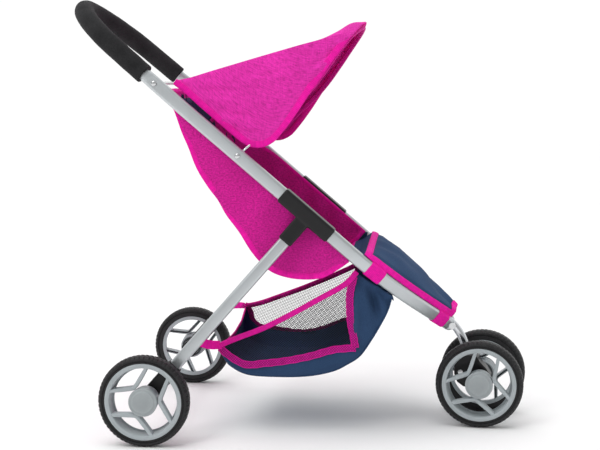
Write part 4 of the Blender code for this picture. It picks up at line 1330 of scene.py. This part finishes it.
class Seat:
    line = Line(SEAT_LINE)
    u0 = plane_coords(*SEAT_LINE[0])[0]
    u1 = plane_coords(*SEAT_LINE[-1])[0]
    rivet = plane_coords(119.2, 379.6)[0]

    def rim(self, t):
        # the edge dips beside the canopy rivet, clear of the folded hoop
        u = self.u0 + (self.u1 - self.u0) * t
        dip = 5.0 * math.exp(-((u - self.rivet + 8.0) / 20.0) ** 2)
        return side_coords(u, 7.0 - dip)

    def side(self, f, t, sg, folds=True):
        """f from the tube to the bottom seam, t from back to front."""
        rx, rz = self.rim(t)
        lx, lz = self.line.at(t)
        x, z = rx + (lx - rx) * f, rz + (lz - rz) * f
        u = self.u0 + (self.u1 - self.u0) * t
        top = min(109.4, tube_half(u) - 7.5)
        half = top + (104.4 - top) * f ** 0.8
        # the cloth bellies a little and puckers at the seam
        half += 2.0 * math.sin(math.pi * f) * f ** 0.4 * math.sin(math.pi * min(1.0, t * 1.05))
        if folds:
            win = min(1.0, f * 7) * min(1.0, (1 - f) * 5 + 0.15)
            ph = t * 46.0 + 0.8 * math.sin(t * 9) + (0.9 if sg > 0 else 0.0)
            win *= min(1.0, 0.25 + f * 2.2)
            half += 1.5 * win * (1 - f) * math.sin(ph + 1.4 * f)
            half += 1.0 * win * noise.noise(Vector((x, sg * 30, z)) * 0.028)
            half += 0.55 * win * noise.noise(Vector((x, sg * 70, z)) * 0.075)
            for a, b, w, h in (((60, 350), (120, 330), 4.0, -1.2),
                               ((75, 335), (110, 295), 4.0, 1.2),
                               ((140, 245), (190, 262), 4.5, 1.1),
                               ((205, 216), (232, 252), 4.0, -1.0)):
                half += crease(x, z, a, b, w, h)
        return P(x, sg * half, z), (x, z)

    def seam(self, t, inset=0.0):
        x, z = self.line.at(t)
        a, b = self.line.at(t - 0.004), self.line.at(t + 0.004)
        d = Vector((b[0] - a[0], b[1] - a[1])).normalized()
        return x - d.y * inset, z + d.x * inset, d


def build_seat():
    c = Seat()
    nt, nf = 120, 34
    objs = []
    for side, sg in SIDES:
        rows, uvs = [], []
        for i in range(nf + 1):
            f = i / nf
            row, uv = [], []
            for j in range(nt + 1):
                p, (x, z) = c.side(f, j / nt, sg)
                row.append(p)
                uv.append((x * MM, z * MM))
            rows.append(row)
            uvs.append(uv)
        panel = grid("seat_side_" + side, rows, M["seat"], uvs, thick=0.8)
        objs.append(panel)
    # back and bottom panel between the two seams
    ny = 48
    rows, uvs = [], []
    girth = 0.0
    prev = None
    for j in range(nt + 1):
        t = j / nt
        x, z, d = c.seam(t, 1.6)
        if prev:
            girth += math.hypot(x - prev[0], z - prev[1])
        prev = (x, z)
        row, uv = [], []
        for i in range(ny + 1):
            f = i / ny
            y = (2 * f - 1) * 103.4
            w = 1 - (y / 103.4) ** 2
            sag = 2.0 * w * math.sin(math.pi * t)
            sag += 0.9 * w * noise.noise(Vector((y, girth, 3.0)) * 0.03)
            # outward is down and back
            row.append(P(x + d.y * sag, y, z - d.x * sag))
            uv.append((y * MM, girth * MM))
        rows.append(row)
        uvs.append(uv)
    bottom = grid("seat_back_panel", rows, M["seat"], uvs, thick=0.9)
    objs.append(bottom)
    sling = join("seat_sling", objs, M["seat"])
    fix = sling.data
    fix.shade_smooth()
    put(sling, "frame", "fabric_pink", "seat_bucket")

    tapes = []
    for side, sg in SIDES:
        pts, nrm = [], []
        for j in range(151):
            t = j / 150
            x, z, d = c.seam(t, -1.0)
            w = 0.5 * noise.noise(Vector((t * 30, sg * 3, 0)))
            pts.append(P(x, sg * (104.6 + w), z))
            nrm.append(Vector((0, sg, 0)))
        tapes.append(edge_tape("seat_seam_" + side, pts, nrm, 8.2, M["bright"],
                               thick=2.0, inward=-sg, ripple=0.10))
        tapes.append(stitch_line("seat_seam_stitch_" + side, pts, nrm,
                                 M["thread"], inset=7.0, lift=1.1,
                                 inward=-sg))
        # binding on the edge by the tube, and across the front end
        pts, nrm = [], []
        for j in range(121):
            p, _ = c.side(0.0, j / 120, sg, False)
            pts.append(p + Vector((0, 0, 0.0008)))
            nrm.append(Vector((0, sg, 0)))
        tapes.append(edge_tape("seat_rim_" + side, pts, nrm, 5.0, M["bright"],
                               thick=1.6, inward=sg))
        pts, nrm = [], []
        for j in range(21):
            p, _ = c.side(j / 20, 1.0, sg, False)
            pts.append(p)
            nrm.append(Vector((0, sg, 0)))
        tapes.append(edge_tape("seat_front_" + side, pts, nrm, 6.0,
                               M["bright"], thick=1.7, inward=sg))
    for t, tag, inw in ((0.0, "top", 1.0), (1.0, "front_edge", -1.0)):
        x, z, d = c.seam(t, 1.6)
        pts = [P(x, y, z) for y in np.linspace(-102, 102, 52)]
        n = Vector((-d.y, 0, d.x)) * -1.0
        nrm = [Vector((d.y, 0, -d.x))] * 52
        tapes.append(edge_tape("seat_" + tag, pts, nrm, 7.0, M["bright"],
                               thick=1.9, inward=inw))
    binding = join("seat_binding", tapes)
    put(binding, "frame", "binding_pink")
    return sling, binding


# ---------------------------------------------------- padded seat liner
def inflate(ob, cap):
    """Fill the pad: remesh, cloth with pressure, limit, apply, smooth."""
    r = ob.modifiers.new("skin", "REMESH")
    r.mode = "VOXEL"
    r.voxel_size = 0.0038
    apply_mods(ob)
    start = np.zeros(len(ob.data.vertices) * 3, np.float32)
    ob.data.vertices.foreach_get("co", start)
    start = start.reshape(-1, 3)
    m = ob.modifiers.new("fill", "CLOTH")
    m.settings.quality = 5
    m.settings.mass = 0.2
    m.settings.tension_stiffness = 12
    m.settings.compression_stiffness = 12
    m.settings.shear_stiffness = 5
    m.settings.bending_stiffness = 0.4
    m.settings.use_pressure = True
    m.settings.uniform_pressure_force = 4.0
    m.settings.effector_weights.gravity = 0.0
    m.point_cache.frame_start = 1
    m.point_cache.frame_end = 20
    scene = bpy.context.scene
    for f in range(1, 21):
        scene.frame_set(f)
    apply_mods(ob)
    scene.frame_set(1)
    now = np.zeros(len(ob.data.vertices) * 3, np.float32)
    ob.data.vertices.foreach_get("co", now)
    now = now.reshape(-1, 3)
    move = now - start
    length = np.linalg.norm(move, axis=1, keepdims=True)
    lim = cap * MM
    k = np.where(length > 1e-9, lim * np.tanh(length / lim)
                 / np.maximum(length, 1e-9), 1.0)
    ob.data.vertices.foreach_set("co", (start + move * k).astype(
        np.float32).ravel())
    ob.data.update()
    s = ob.modifiers.new("soft", "SUBSURF")
    s.levels = s.render_levels = 1
    apply_mods(ob)
    ob.data.shade_smooth()
    return ob


def build_pads():
    c = Seat()

    def pad(name, t0, t1, half, node, channels, wing):
        rows_t = [t0 + (t1 - t0) * i / 26 for i in range(27)]
        outline = []
        verts, faces = [], []
        cols = 30
        for lay, inset in ((0, 4.2), (1, 8.0)):
            for i, t in enumerate(rows_t):
                e = abs(2 * i / 26 - 1)
                for j in range(cols + 1):
                    f = 2 * j / cols - 1
                    # rounded corners, and wings that turn up the sides
                    w = half * (1 - 0.10 * max(0.0, e - 0.7) / 0.3 * abs(f))
                    g = max(0.0, (abs(f) - 0.84) / 0.16) ** 1.5
                    x, z, d = c.seam(t, inset + wing * g)
                    verts.append(P(x, w * f, z))
        nr, nc = 27, cols + 1
        off = nr * nc
        for i in range(nr - 1):
            for j in range(nc - 1):
                a = i * nc + j
                faces.append((a, a + 1, a + nc + 1, a + nc))
                faces.append((off + a, off + a + nc, off + a + nc + 1,
                              off + a + 1))
        for i in range(nr - 1):
            for j in (0, nc - 1):
                a, b = i * nc + j, (i + 1) * nc + j
                f = (a, b, off + b, off + a)
                faces.append(f if j == 0 else f[::-1])
        for j in range(nc - 1):
            for i in (0, nr - 1):
                a, b = i * nc + j, i * nc + j + 1
                f = (a, off + a, off + b, b)
                faces.append(f if i == 0 else f[::-1])
        ob = make(name, verts, faces, M["pad"])
        fix_normals(ob)
        inflate(ob, 3.0)
        # sewn channels pressed in after filling
        lines = []
        for k in channels:
            t = t0 + (t1 - t0) * k
            x, z, d = c.seam(t, 8.0)
            lines.append((P(x, 0, z), Vector((d.x, 0, d.y)),
                          Vector((-d.y, 0, d.x))))
        for v in ob.data.vertices:
            for p, along, inn in lines:
                q = v.co - p
                s = q.dot(along) / MM
                if abs(s) < 9 and q.dot(inn) > -0.0035 and abs(q.dot(inn)) < 0.012:
                    v.co -= inn * (2.0 * math.exp(-(s / 2.4) ** 2)) * MM
        ob.data.update()
        if ob.data.materials:
            ob.data.materials.clear()
        ob.data.materials.append(M["pad"])
        put(ob, "frame", "fabric_navy", node)
        return ob

    back = pad("back_pad_cushion", 0.035, 0.43, 99.5, "seat_back_pad",
               (0.25, 0.5, 0.75), 24.0)
    base = pad("base_pad_cushion", 0.62, 0.88, 92.0, "seat_base_pad",
               (0.33, 0.67), 4.0)
    return back, base


# ------------------------------------------------------------------- basket
B_OUT = [(87.6, 117.0), (90.5, 103.5), (102.0, 90.0), (126.0, 79.0),
         (168.0, 77.0), (208.0, 79.0), (240.0, 86.0), (260.0, 96.0),
         (277.0, 108.0), (291.0, 128.0), (305.5, 153.0), (314.5, 172.0),
         (319.5, 190.0)]
B_IN = [(89.5, 117.5), (93.0, 112.0), (103.0, 104.5), (122.4, 94.6),
        (168.0, 99.0), (208.0, 107.0), (240.0, 116.5), (259.0, 119.0),
        (271.0, 121.0), (268.3, 137.3), (264.6, 160.0), (264.0, 192.0),
        (271.0, 222.0)]
B_IN_FAR = [(88.5, 118.0), (97.0, 121.0), (106.0, 112.5), (119.3, 104.5),
            (168.0, 98.5), (208.0, 102.5), (240.0, 115.0), (259.0, 119.0),
            (271.0, 121.0), (268.3, 137.3), (264.6, 160.0), (264.0, 192.0),
            (271.0, 222.0)]
B_RIM = {-1: [(88.0, 119.0), (95.4, 123.1), (115.9, 131.8), (143.1, 142.6),
              (170.2, 156.0), (197.2, 170.8), (224.0, 186.2), (250.7, 201.4),
              (263.0, 211.0), (273.0, 223.0)],
         1: [(94.0, 138.5), (101.0, 138.0), (119.0, 142.5), (139.1, 149.7),
             (177.1, 164.1), (200.0, 173.5), (222.3, 183.0), (250.0, 196.0),
             (264.0, 203.5), (274.0, 211.0)]}
B_LOW = {-1: [(89.5, 117.5), (97.0, 109.0), (122.4, 94.6), (150.0, 96.6),
              (180.0, 100.8), (210.6, 107.5), (240.0, 116.5), (258.0, 119.0),
              (272.0, 120.0)],
         1: [(96.5, 136.0), (101.1, 127.0), (106.0, 112.5), (119.3, 104.5),
             (139.1, 101.9), (177.2, 97.5), (207.5, 102.1), (245.2, 116.6),
             (272.0, 122.0)]}
B_FRONT = [(271.5, 120.0), (268.6, 137.3), (264.6, 160.0), (264.0, 192.0),
           (269.0, 216.0)]


def at_x(line, x):
    """Height of a side-view polyline at x."""
    pts = line
    if x <= pts[0][0]:
        return pts[0][1]
    for (x0, z0), (x1, z1) in zip(pts, pts[1:]):
        if x <= x1:
            return z0 + (z1 - z0) * (x - x0) / (x1 - x0)
    return pts[-1][1]


def at_z(line, z):
    pts = line
    if z <= pts[0][1]:
        return pts[0][0]
    for (x0, z0), (x1, z1) in zip(pts, pts[1:]):
        if z <= z1:
            return x0 + (x1 - x0) * (z - z0) / (z1 - z0)
    return pts[-1][0]


def dense(line, n=60):
    return [line.at(i / (n - 1)) for i in range(n)]


def diamond_net(name, lo, hi, place, inside, pitch=(3.5, 3.1), thread=0.55,
                slant=0.0, mat=None):
    """Knitted net: diamond holes between crossing threads.

    lo, hi: box in mm; place(x, z) gives the point; inside(x, z) clips."""
    pa, pb = pitch
    cs, sn = math.cos(slant), math.sin(slant)
    cx, cz = (lo[0] + hi[0]) / 2, (lo[1] + hi[1]) / 2
    reach = math.hypot(hi[0] - lo[0], hi[1] - lo[1]) / 2
    na, nb = int(reach / pa) + 2, int(reach / pb) + 2
    verts, faces, uvs, index = [], [], [], {}

    def vert(a, b, key=None):
        if key is not None and key in index:
            return index[key]
        x, z = cx + a * cs - b * sn, cz + a * sn + b * cs
        verts.append(place(x, z))
        uvs.append((x * MM, z * MM))
        if key is not None:
            index[key] = len(verts) - 1
        return len(verts) - 1

    for i in range(-2 * na, 2 * na + 1):
        for j in range(-2 * nb, 2 * nb + 1):
            if (i + j) % 2:
                continue
            a, b = i * pa / 2, j * pb / 2
            x, z = cx + a * cs - b * sn, cz + a * sn + b * cs
            if not inside(x, z):
                continue
            # corners of the cell, then of the hole within it
            cell = [(i + 1, j), (i, j + 1), (i - 1, j), (i, j - 1)]
            k = 1.0 - thread / min(pa, pb) * 1.35
            o = [vert(u * pa / 2, v * pb / 2, (u, v)) for u, v in cell]
            n = []
            for q in range(4):
                (u0, v0), (u1, v1) = cell[q], cell[(q + 1) % 4]
                n.append(vert(a + (u0 - i) * pa / 2 * k, b + (v0 - j) * pb / 2 * k))
                n.append(vert(a + ((u0 + u1) / 2 - i) * pa / 2 * k * 1.12,
                              b + ((v0 + v1) / 2 - j) * pb / 2 * k * 1.12))
            for q in range(4):
                q2 = (q + 1) % 4
                faces.append((o[q], o[q2], n[2 * q + 1], n[2 * q]))
                faces.append((o[q2], n[(2 * q + 2) % 8], n[2 * q + 1]))
    ob = make(name, verts, faces, mat or M["net"], uvs, smooth=False)
    m = ob.modifiers.new("yarn", "SOLIDIFY")
    m.thickness = 0.45 * MM
    m.offset = 0.0
    return ob


def ribbon(name, pts, normals, width, mat, thick=1.4, centre=True, ripple=0.0):
    """A flat tape along its centre line, lying on its surface."""
    n = len(pts)
    edge = []
    for i in range(n):
        a, b = pts[max(i - 1, 0)], pts[min(i + 1, n - 1)]
        t = (b - a).normalized()
        d = normals[i].normalized().cross(t).normalized()
        edge.append(pts[i] - d * (width / 2 * MM if centre else 0.0))
    return edge_tape(name, edge, normals, width, mat, thick=thick, inward=1.0,
                     ripple=ripple)


def rear_shift(t, y):
    """The far rear corner hangs higher and further forward on its tape."""
    g = max(0.0, 1.0 - t / 0.13)
    k = max(0.0, min(1.0, (y + 100.0) / 200.0))
    return 8.0 * k * g ** 1.5, 18.0 * k * g ** 1.3


def build_basket():
    out, inn = Line(B_OUT, even=False), Line(B_IN, even=False)
    far = Line(B_IN_FAR, even=False)
    nt = 130
    rows, uvs = [], []
    girth = 0.0
    prev = None
    for i in range(nt + 1):
        t = i / nt
        ox, oz = out.at(t)
        if prev:
            girth += math.hypot(ox - prev[0], oz - prev[1])
        prev = (ox, oz)
        g = max(0.0, min(1.0, (t - 0.70) / 0.22))
        g = g * g * (3 - 2 * g)

        def strip(sg):
            sec = []
            ix, iz = (inn if sg < 0 else far).at(t)
            for k in range(27):
                f = k / 26
                x, z = ix + (ox - ix) * f, iz + (oz - iz) * f
                y = 103.2 - 2.0 * f - 5.5 * max(0.0, f - 0.6) ** 2 / 0.16
                win = min(1.0, f * 5)
                y += 1.2 * win * noise.noise(Vector((x, 10 * sg, z)) * 0.035)
                # deep upright folds in the front gusset, under the tube
                top = min(1.0, max(0.0, (t - 0.80) / 0.2))
                y += g * win * (3.6 * math.sin((x - 262) * 0.19 - z * 0.045)
                                * (0.35 + 0.65 * top)
                                + 1.6 * math.sin((x - 262) * 0.34 + z * 0.03)
                                - 2.0 * top)
                y += crease(x, z, (283, 212), (307, 156), 5.0, -8.0)
                y += crease(x, z, (299, 203), (317, 178), 4.5, -5.5)
                y += crease(x, z, (273, 205), (272, 130), 5.0, 2.0)
                y = min(y, 105.5)
                dx, dz = rear_shift(t, sg * y)
                sec.append((x + dx, sg * y, z + dz))
            return sec

        sec = strip(-1)
        y_end = 95.7
        for k in range(1, 40):
            f = k / 40
            y = (2 * f - 1) * y_end
            w = 1 - (y / y_end) ** 2
            sag = 1.6 * w * math.sin(math.pi * min(1.0, t * 1.25)) + 1.0 * w * (
                noise.noise(Vector((y, girth, 8)) * 0.03))
            if t > 0.72:
                sag = sag * (1 - g) - 5.0 * w * g
                sag += 1.5 * g * w * math.sin(y * 0.09)
            a, b_ = out.at(t - 0.01), out.at(t + 0.01)
            d = Vector((b_[0] - a[0], b_[1] - a[1])).normalized()
            dx, dz = rear_shift(t, y)
            # the back panel's edge hangs slack between its corners
            slack = max(0.0, 1.0 - t / 0.10)
            sec.append((ox + d.y * sag + dx + 5.0 * w * slack, y,
                        oz - d.x * sag + dz - 3.5 * w * slack))
        sec += list(reversed(strip(1)))
        run, row, uv, last = 0.0, [], [], None
        for q in sec:
            p = P(*q)
            if last is not None:
                run += (p - last).length
            last = p
            row.append(p)
            uv.append((girth * MM, run))
        rows.append(row)
        uvs.append(uv)
    shell = grid("basket_shell", rows, M["navy"], uvs, thick=0.8)
    put(shell, "frame", "fabric_navy", "basket")
    back_edge = rows[0][26:-26]

    pieces, nets, casings = [], [], []
    for side, sg in SIDES:
        k = int(sg)
        rim, low = Line(B_RIM[k]), Line(B_LOW[k])
        front = Line(B_FRONT)
        rimp, lowp, frontp = dense(rim), dense(low), dense(front)

        def place(x, z, sg=sg, rimp=rimp, lowp=lowp):
            z0, z1 = at_x(lowp, x), at_x(rimp, x)
            fb = max(0.0, min(1.0, (z - z0) / max(1.0, z1 - z0)))
            fa = max(0.0, min(1.0, (x - 90.0) / 180.0))
            bulge = 2.2 * math.sin(math.pi * fb) * math.sin(math.pi * fa)
            bulge += 0.9 * noise.noise(Vector((x, sg * 20, z)) * 0.04)
            return P(x, sg * (103.0 + bulge), z)

        def inside(x, z, rimp=rimp, lowp=lowp, frontp=frontp):
            return (x > 88.0 and at_x(lowp, x) - 2.0 < z < at_x(rimp, x) + 1.0
                    and x < at_z(frontp, z) + 2.0)

        nets.append(diamond_net("basket_net_" + side, (86, 90), (276, 226),
                                place, inside, slant=0.50 if sg > 0 else 0.12))

        def surf(line, n=90, dy=0.0, sg=sg):
            return ([P(x, sg * (103.2 + dy), z) for x, z in
                     (line.at(i / (n - 1)) for i in range(n))],
                    [Vector((0, sg, 0))] * n)

        pts, nrm = surf(rim, dy=1.3)
        # rim binding in binding tape darkened as painted shade
        pieces.append(ribbon("basket_rim_" + side, pts, nrm, 7.4,
                             M["shaded_rim_tape"], thick=2.4, ripple=0.2))
        pieces.append(stitch_line("basket_rim_stitch_" + side, pts, nrm,
                                  M["thread"], inset=2.7, lift=1.4))
        for tag, line, wid in (("low", low, 8.4), ("stripe", front, 8.6)):
            pts, nrm = surf(line, dy=1.0)
            casings.append(ribbon("basket_%s_%s" % (tag, side), pts, nrm, wid,
                                  M["mesh_tape"], thick=1.3, ripple=0.12))
            for off in (-wid / 2, wid / 2):
                cord = []
                for i in range(80):
                    a = i / 79
                    x, z = line.at(a)
                    p0, p1 = line.at(a - 0.01), line.at(a + 0.01)
                    d = Vector((p1[0] - p0[0], p1[1] - p0[1])).normalized()
                    wob = 0.25 * math.sin(i * 0.9 + off)
                    cord.append(P(x - d.y * (off + wob), sg * 104.6,
                                  z + d.x * (off + wob)))
                # the edge cords are in binding tape darkened as painted shade
                pieces.append(sweep("basket_edge_%s_%s_%d" % (tag, side, off > 0),
                                    cord, circle(0.75, 8), Vector((0, sg, 0)),
                                    M["shaded_tape"]))
    # tape over the back panel's slack top edge, in binding tape darkened as painted shade
    pts = smooth_line(back_edge[::3] + [back_edge[-1]], 90)
    pts = [p + Vector((0, 0, 0.0006)) for p in pts]
    nrm = [Vector((-1.0, 0, 0.35))] * len(pts)
    pieces.append(edge_tape("basket_back_hem", pts, nrm, 9.0, M["shaded_rim_tape"],
                            thick=2.2, inward=1.0, ripple=0.15))
    # front hem and the gusset's dark hem under the tube
    ys = np.linspace(-96.0, 96.0, 60)
    front_hems = []
    pts = [P(319.8 - 5.0 * (1 - (y / 96) ** 2), y, 190.4) for y in ys]
    front_hems.append(edge_tape("basket_front_hem", pts,
                                [Vector((1.0, 0, 0.25))] * 60, 7.0, M["navy"],
                                thick=1.8, inward=-1.0, ripple=0.15))
    for side, sg in SIDES:
        cord = []
        for i in range(110):
            x, z = out.at(0.14 + 0.86 * i / 109)
            cord.append(P(x + 0.4, sg * 96.6, z))
        front_hems.append(sweep("basket_seam_" + side, cord, circle(1.0, 8),
                                Vector((0, sg, 0)), M["navy"]))
    net = join("basket_netting", nets)
    put(net, "frame", "fabric_navy")
    hems = join("basket_hems", front_hems)
    put(hems, "frame", "fabric_navy")
    tapes = join("basket_binding", pieces + casings)
    put(tapes, "frame", "binding_pink")
    return shell, net, tapes


# -------------------------------------------------------------------- apron
def apron_point(s, t, folds=True):
    """s from the seat end to the nose, t from right to left."""
    u = 364.0 + 153.5 * s
    half = tube_half(u) + 0.6
    # columns crowd towards the edges, where the cloth turns down
    r = math.sin((2 * t - 1.0) * math.pi / 2)
    v = half * r
    w = max(0.0, 1.0 - r * r)
    rise = 1.0 - max(0.0, (abs(r) - 0.90) / 0.10) ** 2.2
    front = min(1.0, max(0.0, (s - 0.50) / 0.30))
    front = front * front * (3 - 2 * front)
    tall = 1.6 + (4.6 if v > 0 else 0.0) * min(1.0, abs(r) * 1.4)
    wall = (3.4 + 5.0 * min(1.0, s / 0.10) + tall * front) * rise
    crown = 11.8 * min(1.0, s / 0.28) ** 0.9 * (1.0 - 0.80 * front)
    if s > 0.90:
        wall -= 1.5 * ((s - 0.90) / 0.10) * rise
    h = 9.7 + wall + crown * w ** 0.8
    if folds:
        h += 1.3 * w * math.sin(v * 0.10 + 2.4 * s + 0.6) * max(
            0.0, 1 - s * 1.6) * min(1.0, s * 9)
        h += 1.3 * w * noise.noise(Vector((u, v, 2.0)) * 0.028)
        h += 0.8 * w * math.sin(u * 0.085 + v * 0.05)
    return plane_point(u, v, h), (u, v)


def hem_strip(name, paths, width, lift=1.0):
    """A binding laid on the cover along the paths' first points."""
    rows, uvs, line, nrm = [], [], [], []
    for path in paths:
        cut, left = [path[0]], width * MM
        for a, b in zip(path, path[1:]):
            d = (b - a).length
            if d >= left:
                cut.append(a.lerp(b, left / d))
                break
            left -= d
            cut.append(b)
        rows.append(by_length(cut, 8))
    n, run, last, out = len(rows), 0.0, None, []
    for i, row in enumerate(rows):
        if last is not None:
            run += (row[0] - last).length
        last = row[0]
        new, uv = [], []
        for j, p in enumerate(row):
            du = rows[min(i + 1, n - 1)][j] - rows[max(i - 1, 0)][j]
            dv = row[min(j + 1, 7)] - row[max(j - 1, 0)]
            k = du.cross(dv)
            if k.length > 1e-12:
                k.normalize()
            if k.dot(PLANE_N * 0.5 + Vector((0, p.y * 9, 0))) < 0:
                k = -k
            puff = lift * (1.15 - 0.5 * abs(2 * j / 7 - 1) ** 3)
            puff += 0.15 * math.sin(i * 0.55 + j)
            new.append(p + k * (puff * MM))
            uv.append((run, j * width * MM / 7))
            if j == 6:
                line.append(p + k * (puff * MM))
                nrm.append(k)
        out.append(new)
        uvs.append(uv)
    ob = grid(name, out, M["bright"], uvs, thick=1.5)
    st = stitch_line(name + "_stitch", line, nrm, M["thread"], inset=0.0,
                     lift=0.9, inward=1.0)
    return ob, st


def build_apron():
    rows, uvs = [], []
    ns, nv = 76, 60
    # footwell lining: from the seat's front edge up to the strap
    seat = Seat()
    lip = []
    for j in range(13):
        lip.append(seat.side(j / 12, 1.0, -1.0, False)[0])
    x, z, d = seat.seam(1.0, 1.6)
    lip += [P(x, -102.0 + 204.0 * j / 36, z) for j in range(37)]
    for j in range(13):
        lip.append(seat.side(1 - j / 12, 1.0, 1.0, False)[0])
    lip = by_length(lip, nv + 1)
    for i in range(14):
        f = i / 14
        row, uv = [], []
        for j in range(nv + 1):
            p, (u, v) = apron_point(0.0, j / nv)
            q = lip[j]
            m = q.lerp(p, f)
            w = 1 - (2 * j / nv - 1) ** 2
            m += Vector((-0.0015, 0, -0.009 * w)) * math.sin(math.pi * f)
            row.append(m)
            uv.append((f * 0.04 - 0.04, v * MM))
        rows.append(row)
        uvs.append(uv)
    for i in range(ns + 1):
        s = i / ns
        row, uv = [], []
        for j in range(nv + 1):
            p, (u, v) = apron_point(s, j / nv)
            row.append(p)
            uv.append((u * MM, v * MM))
        rows.append(row)
        uvs.append(uv)
    cloth = grid("apron_cloth", rows, M["navy"], uvs, thick=0.8)
    put(cloth, "frame", "fabric_navy", "foot_apron")
    tapes = []
    for t, tag in ((0, "right"), (1, "left")):
        paths = [[apron_point(i / 110, abs(t - j / 120), False)[0]
                  for j in range(50)] for i in range(111)]
        ob, stitch = hem_strip("apron_edge_" + tag, paths, 8.4)
        tapes += [ob, stitch]
    for s, tag in ((0, "rear"), (1, "nose")):
        paths = [[apron_point(abs(s - j / 150), i / 90, False)[0]
                  for j in range(30)] for i in range(91)]
        ob, stitch = hem_strip("apron_" + tag, paths, 9.4, lift=1.25)
        tapes += [ob, stitch]
    binding = join("apron_binding", tapes)
    put(binding, "frame", "binding_pink")

    # tabs wrapped round the tubes
    for side, sg in SIDES:
        for tag, a, b in (("rear", 378.5, 401.5), ("front", 495.0, 513.0)):
            us = [a + (b - a) * i / 12 for i in range(13)]
            pts = [plane_point(u, sg * tube_half(u), 0) for u in us]
            prof = oval(13.6, 21.0, 0.80)
            ob = sweep("tube_tab_%s_%s" % (tag, side), pts, prof, PLANE_N,
                       M["bright"], ends=[(0.0, 0.90), (0.1, 0.975),
                                          (0.7, 1.0)])
            for v in ob.data.vertices:
                v.co += Vector((0, sg, 0)) * 0.0004 * noise.noise(v.co * 120)
            put(ob, "frame", "binding_pink", "apron_wrap_%s_%s" % (tag, side))
    return cloth, binding


def build_straps():
    """Tapes from the basket's rear corners to the legs' inner faces."""
    for side, sg in SIDES:
        top, foot, ex, ez = leg_frame(sg)
        length = (foot - top).length / MM
        lo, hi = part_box("basket_strap_" + side)
        c = top + ex * ((length - 97.0) * MM)
        a = c - Vector((0, sg * 6.6 * MM, 0))
        b = P(89.0, sg * 102.6, 120.0) if sg < 0 else P(95.5, 102.0, 138.0)
        mid = a.lerp(b, 0.5) + Vector((0, 0, -0.0025 if sg < 0 else 0.0))
        pts = smooth_line([a + ex * -0.010, a, mid, b], 40)
        nrm = []
        for i in range(40):
            t = (pts[min(i + 1, 39)] - pts[max(i - 1, 0)]).normalized()
            up = ex.cross(Vector((0, sg, 0))).normalized()
            f = i / 39
            nrm.append((Vector((0, sg, 0)) * (1 - f) + Vector((0, sg, 0.5)) * f
                        ).normalized())
        ob = ribbon("leg_strap_" + side, pts, nrm, 12.0, M["bright"],
                    thick=1.6, ripple=0.2)
        put(ob, "frame", "binding_pink", "basket_strap_" + side)


# ------------------------------------------------------- floor and lights
def build_stage():
    s = Shader("floor_paper", rough=0.85, spec=0.1)
    vec = s.coords("Object", (1, 1, 1))
    n = s.noise(vec, 6.0, 3.0, 0.5)
    s.link(s.ramp(n, [(0.3, (0.90, 0.90, 0.90)), (0.7, (0.93, 0.93, 0.93))]),
           "Base Color")
    bm = bmesh.new()
    bmesh.ops.create_grid(bm, x_segments=24, y_segments=24, size=9.0)
    mesh = bpy.data.meshes.new("floor")
    bm.to_mesh(mesh)
    bm.free()
    ob = add_object("floor", mesh, s.mat)
    ob.location = (0, 0, -0.0004)

    world = bpy.data.worlds.new("studio")
    bpy.context.scene.world = world
    world.use_nodes = True
    nt = world.node_tree
    bg = nt.nodes["Background"]
    # a white cyclorama: full white behind and above, softer in front
    tc = nt.nodes.new("ShaderNodeTexCoord")
    sep = nt.nodes.new("ShaderNodeSeparateXYZ")
    nt.links.new(tc.outputs["Generated"], sep.inputs[0])
    back = nt.nodes.new("ShaderNodeMapRange")
    back.interpolation_type = "SMOOTHSTEP"
    for k, v in (("From Min", -0.45), ("From Max", 0.55), ("To Min", 0.50),
                 ("To Max", 1.03)):
        back.inputs[k].default_value = v
    nt.links.new(sep.outputs["Y"], back.inputs["Value"])
    nt.links.new(back.outputs["Result"], bg.inputs["Strength"])
    bg.inputs["Color"].default_value = (1.0, 1.0, 1.0, 1.0)

    def lamp(name, kind, energy, direction, loc=None, size=None):
        d = bpy.data.lights.new(name, kind)
        d.energy = energy
        if kind == "SUN":
            d.angle = size
        else:
            d.size = size
        o = bpy.data.objects.new(name, d)
        o.location = loc or (0, 0, 2)
        o.rotation_euler = Vector(direction).to_track_quat("-Z", "Y").to_euler()
        bpy.context.scene.collection.objects.link(o)

    lamp("overhead", "SUN", 1.25, (0.18, 0.16, -1.0), size=math.radians(48))
    lamp("front_key", "AREA", 9.0, (0.55, 0.9, -0.75), (-0.9, -1.5, 1.6), 0.7)
    bpy.context.scene.view_settings.view_transform = "Standard"


# ------------------------------------------------------------------ assemble
build_stage()
build_tubes()
build_legs()
build_hardware()
build_wheels()
canopy, canopy_tape = build_canopy()
sling, sling_tape = build_seat()
build_pads()
shell, net, basket_tape = build_basket()
apron, apron_tape = build_apron()
build_straps()

bpy.context.view_layer.update()
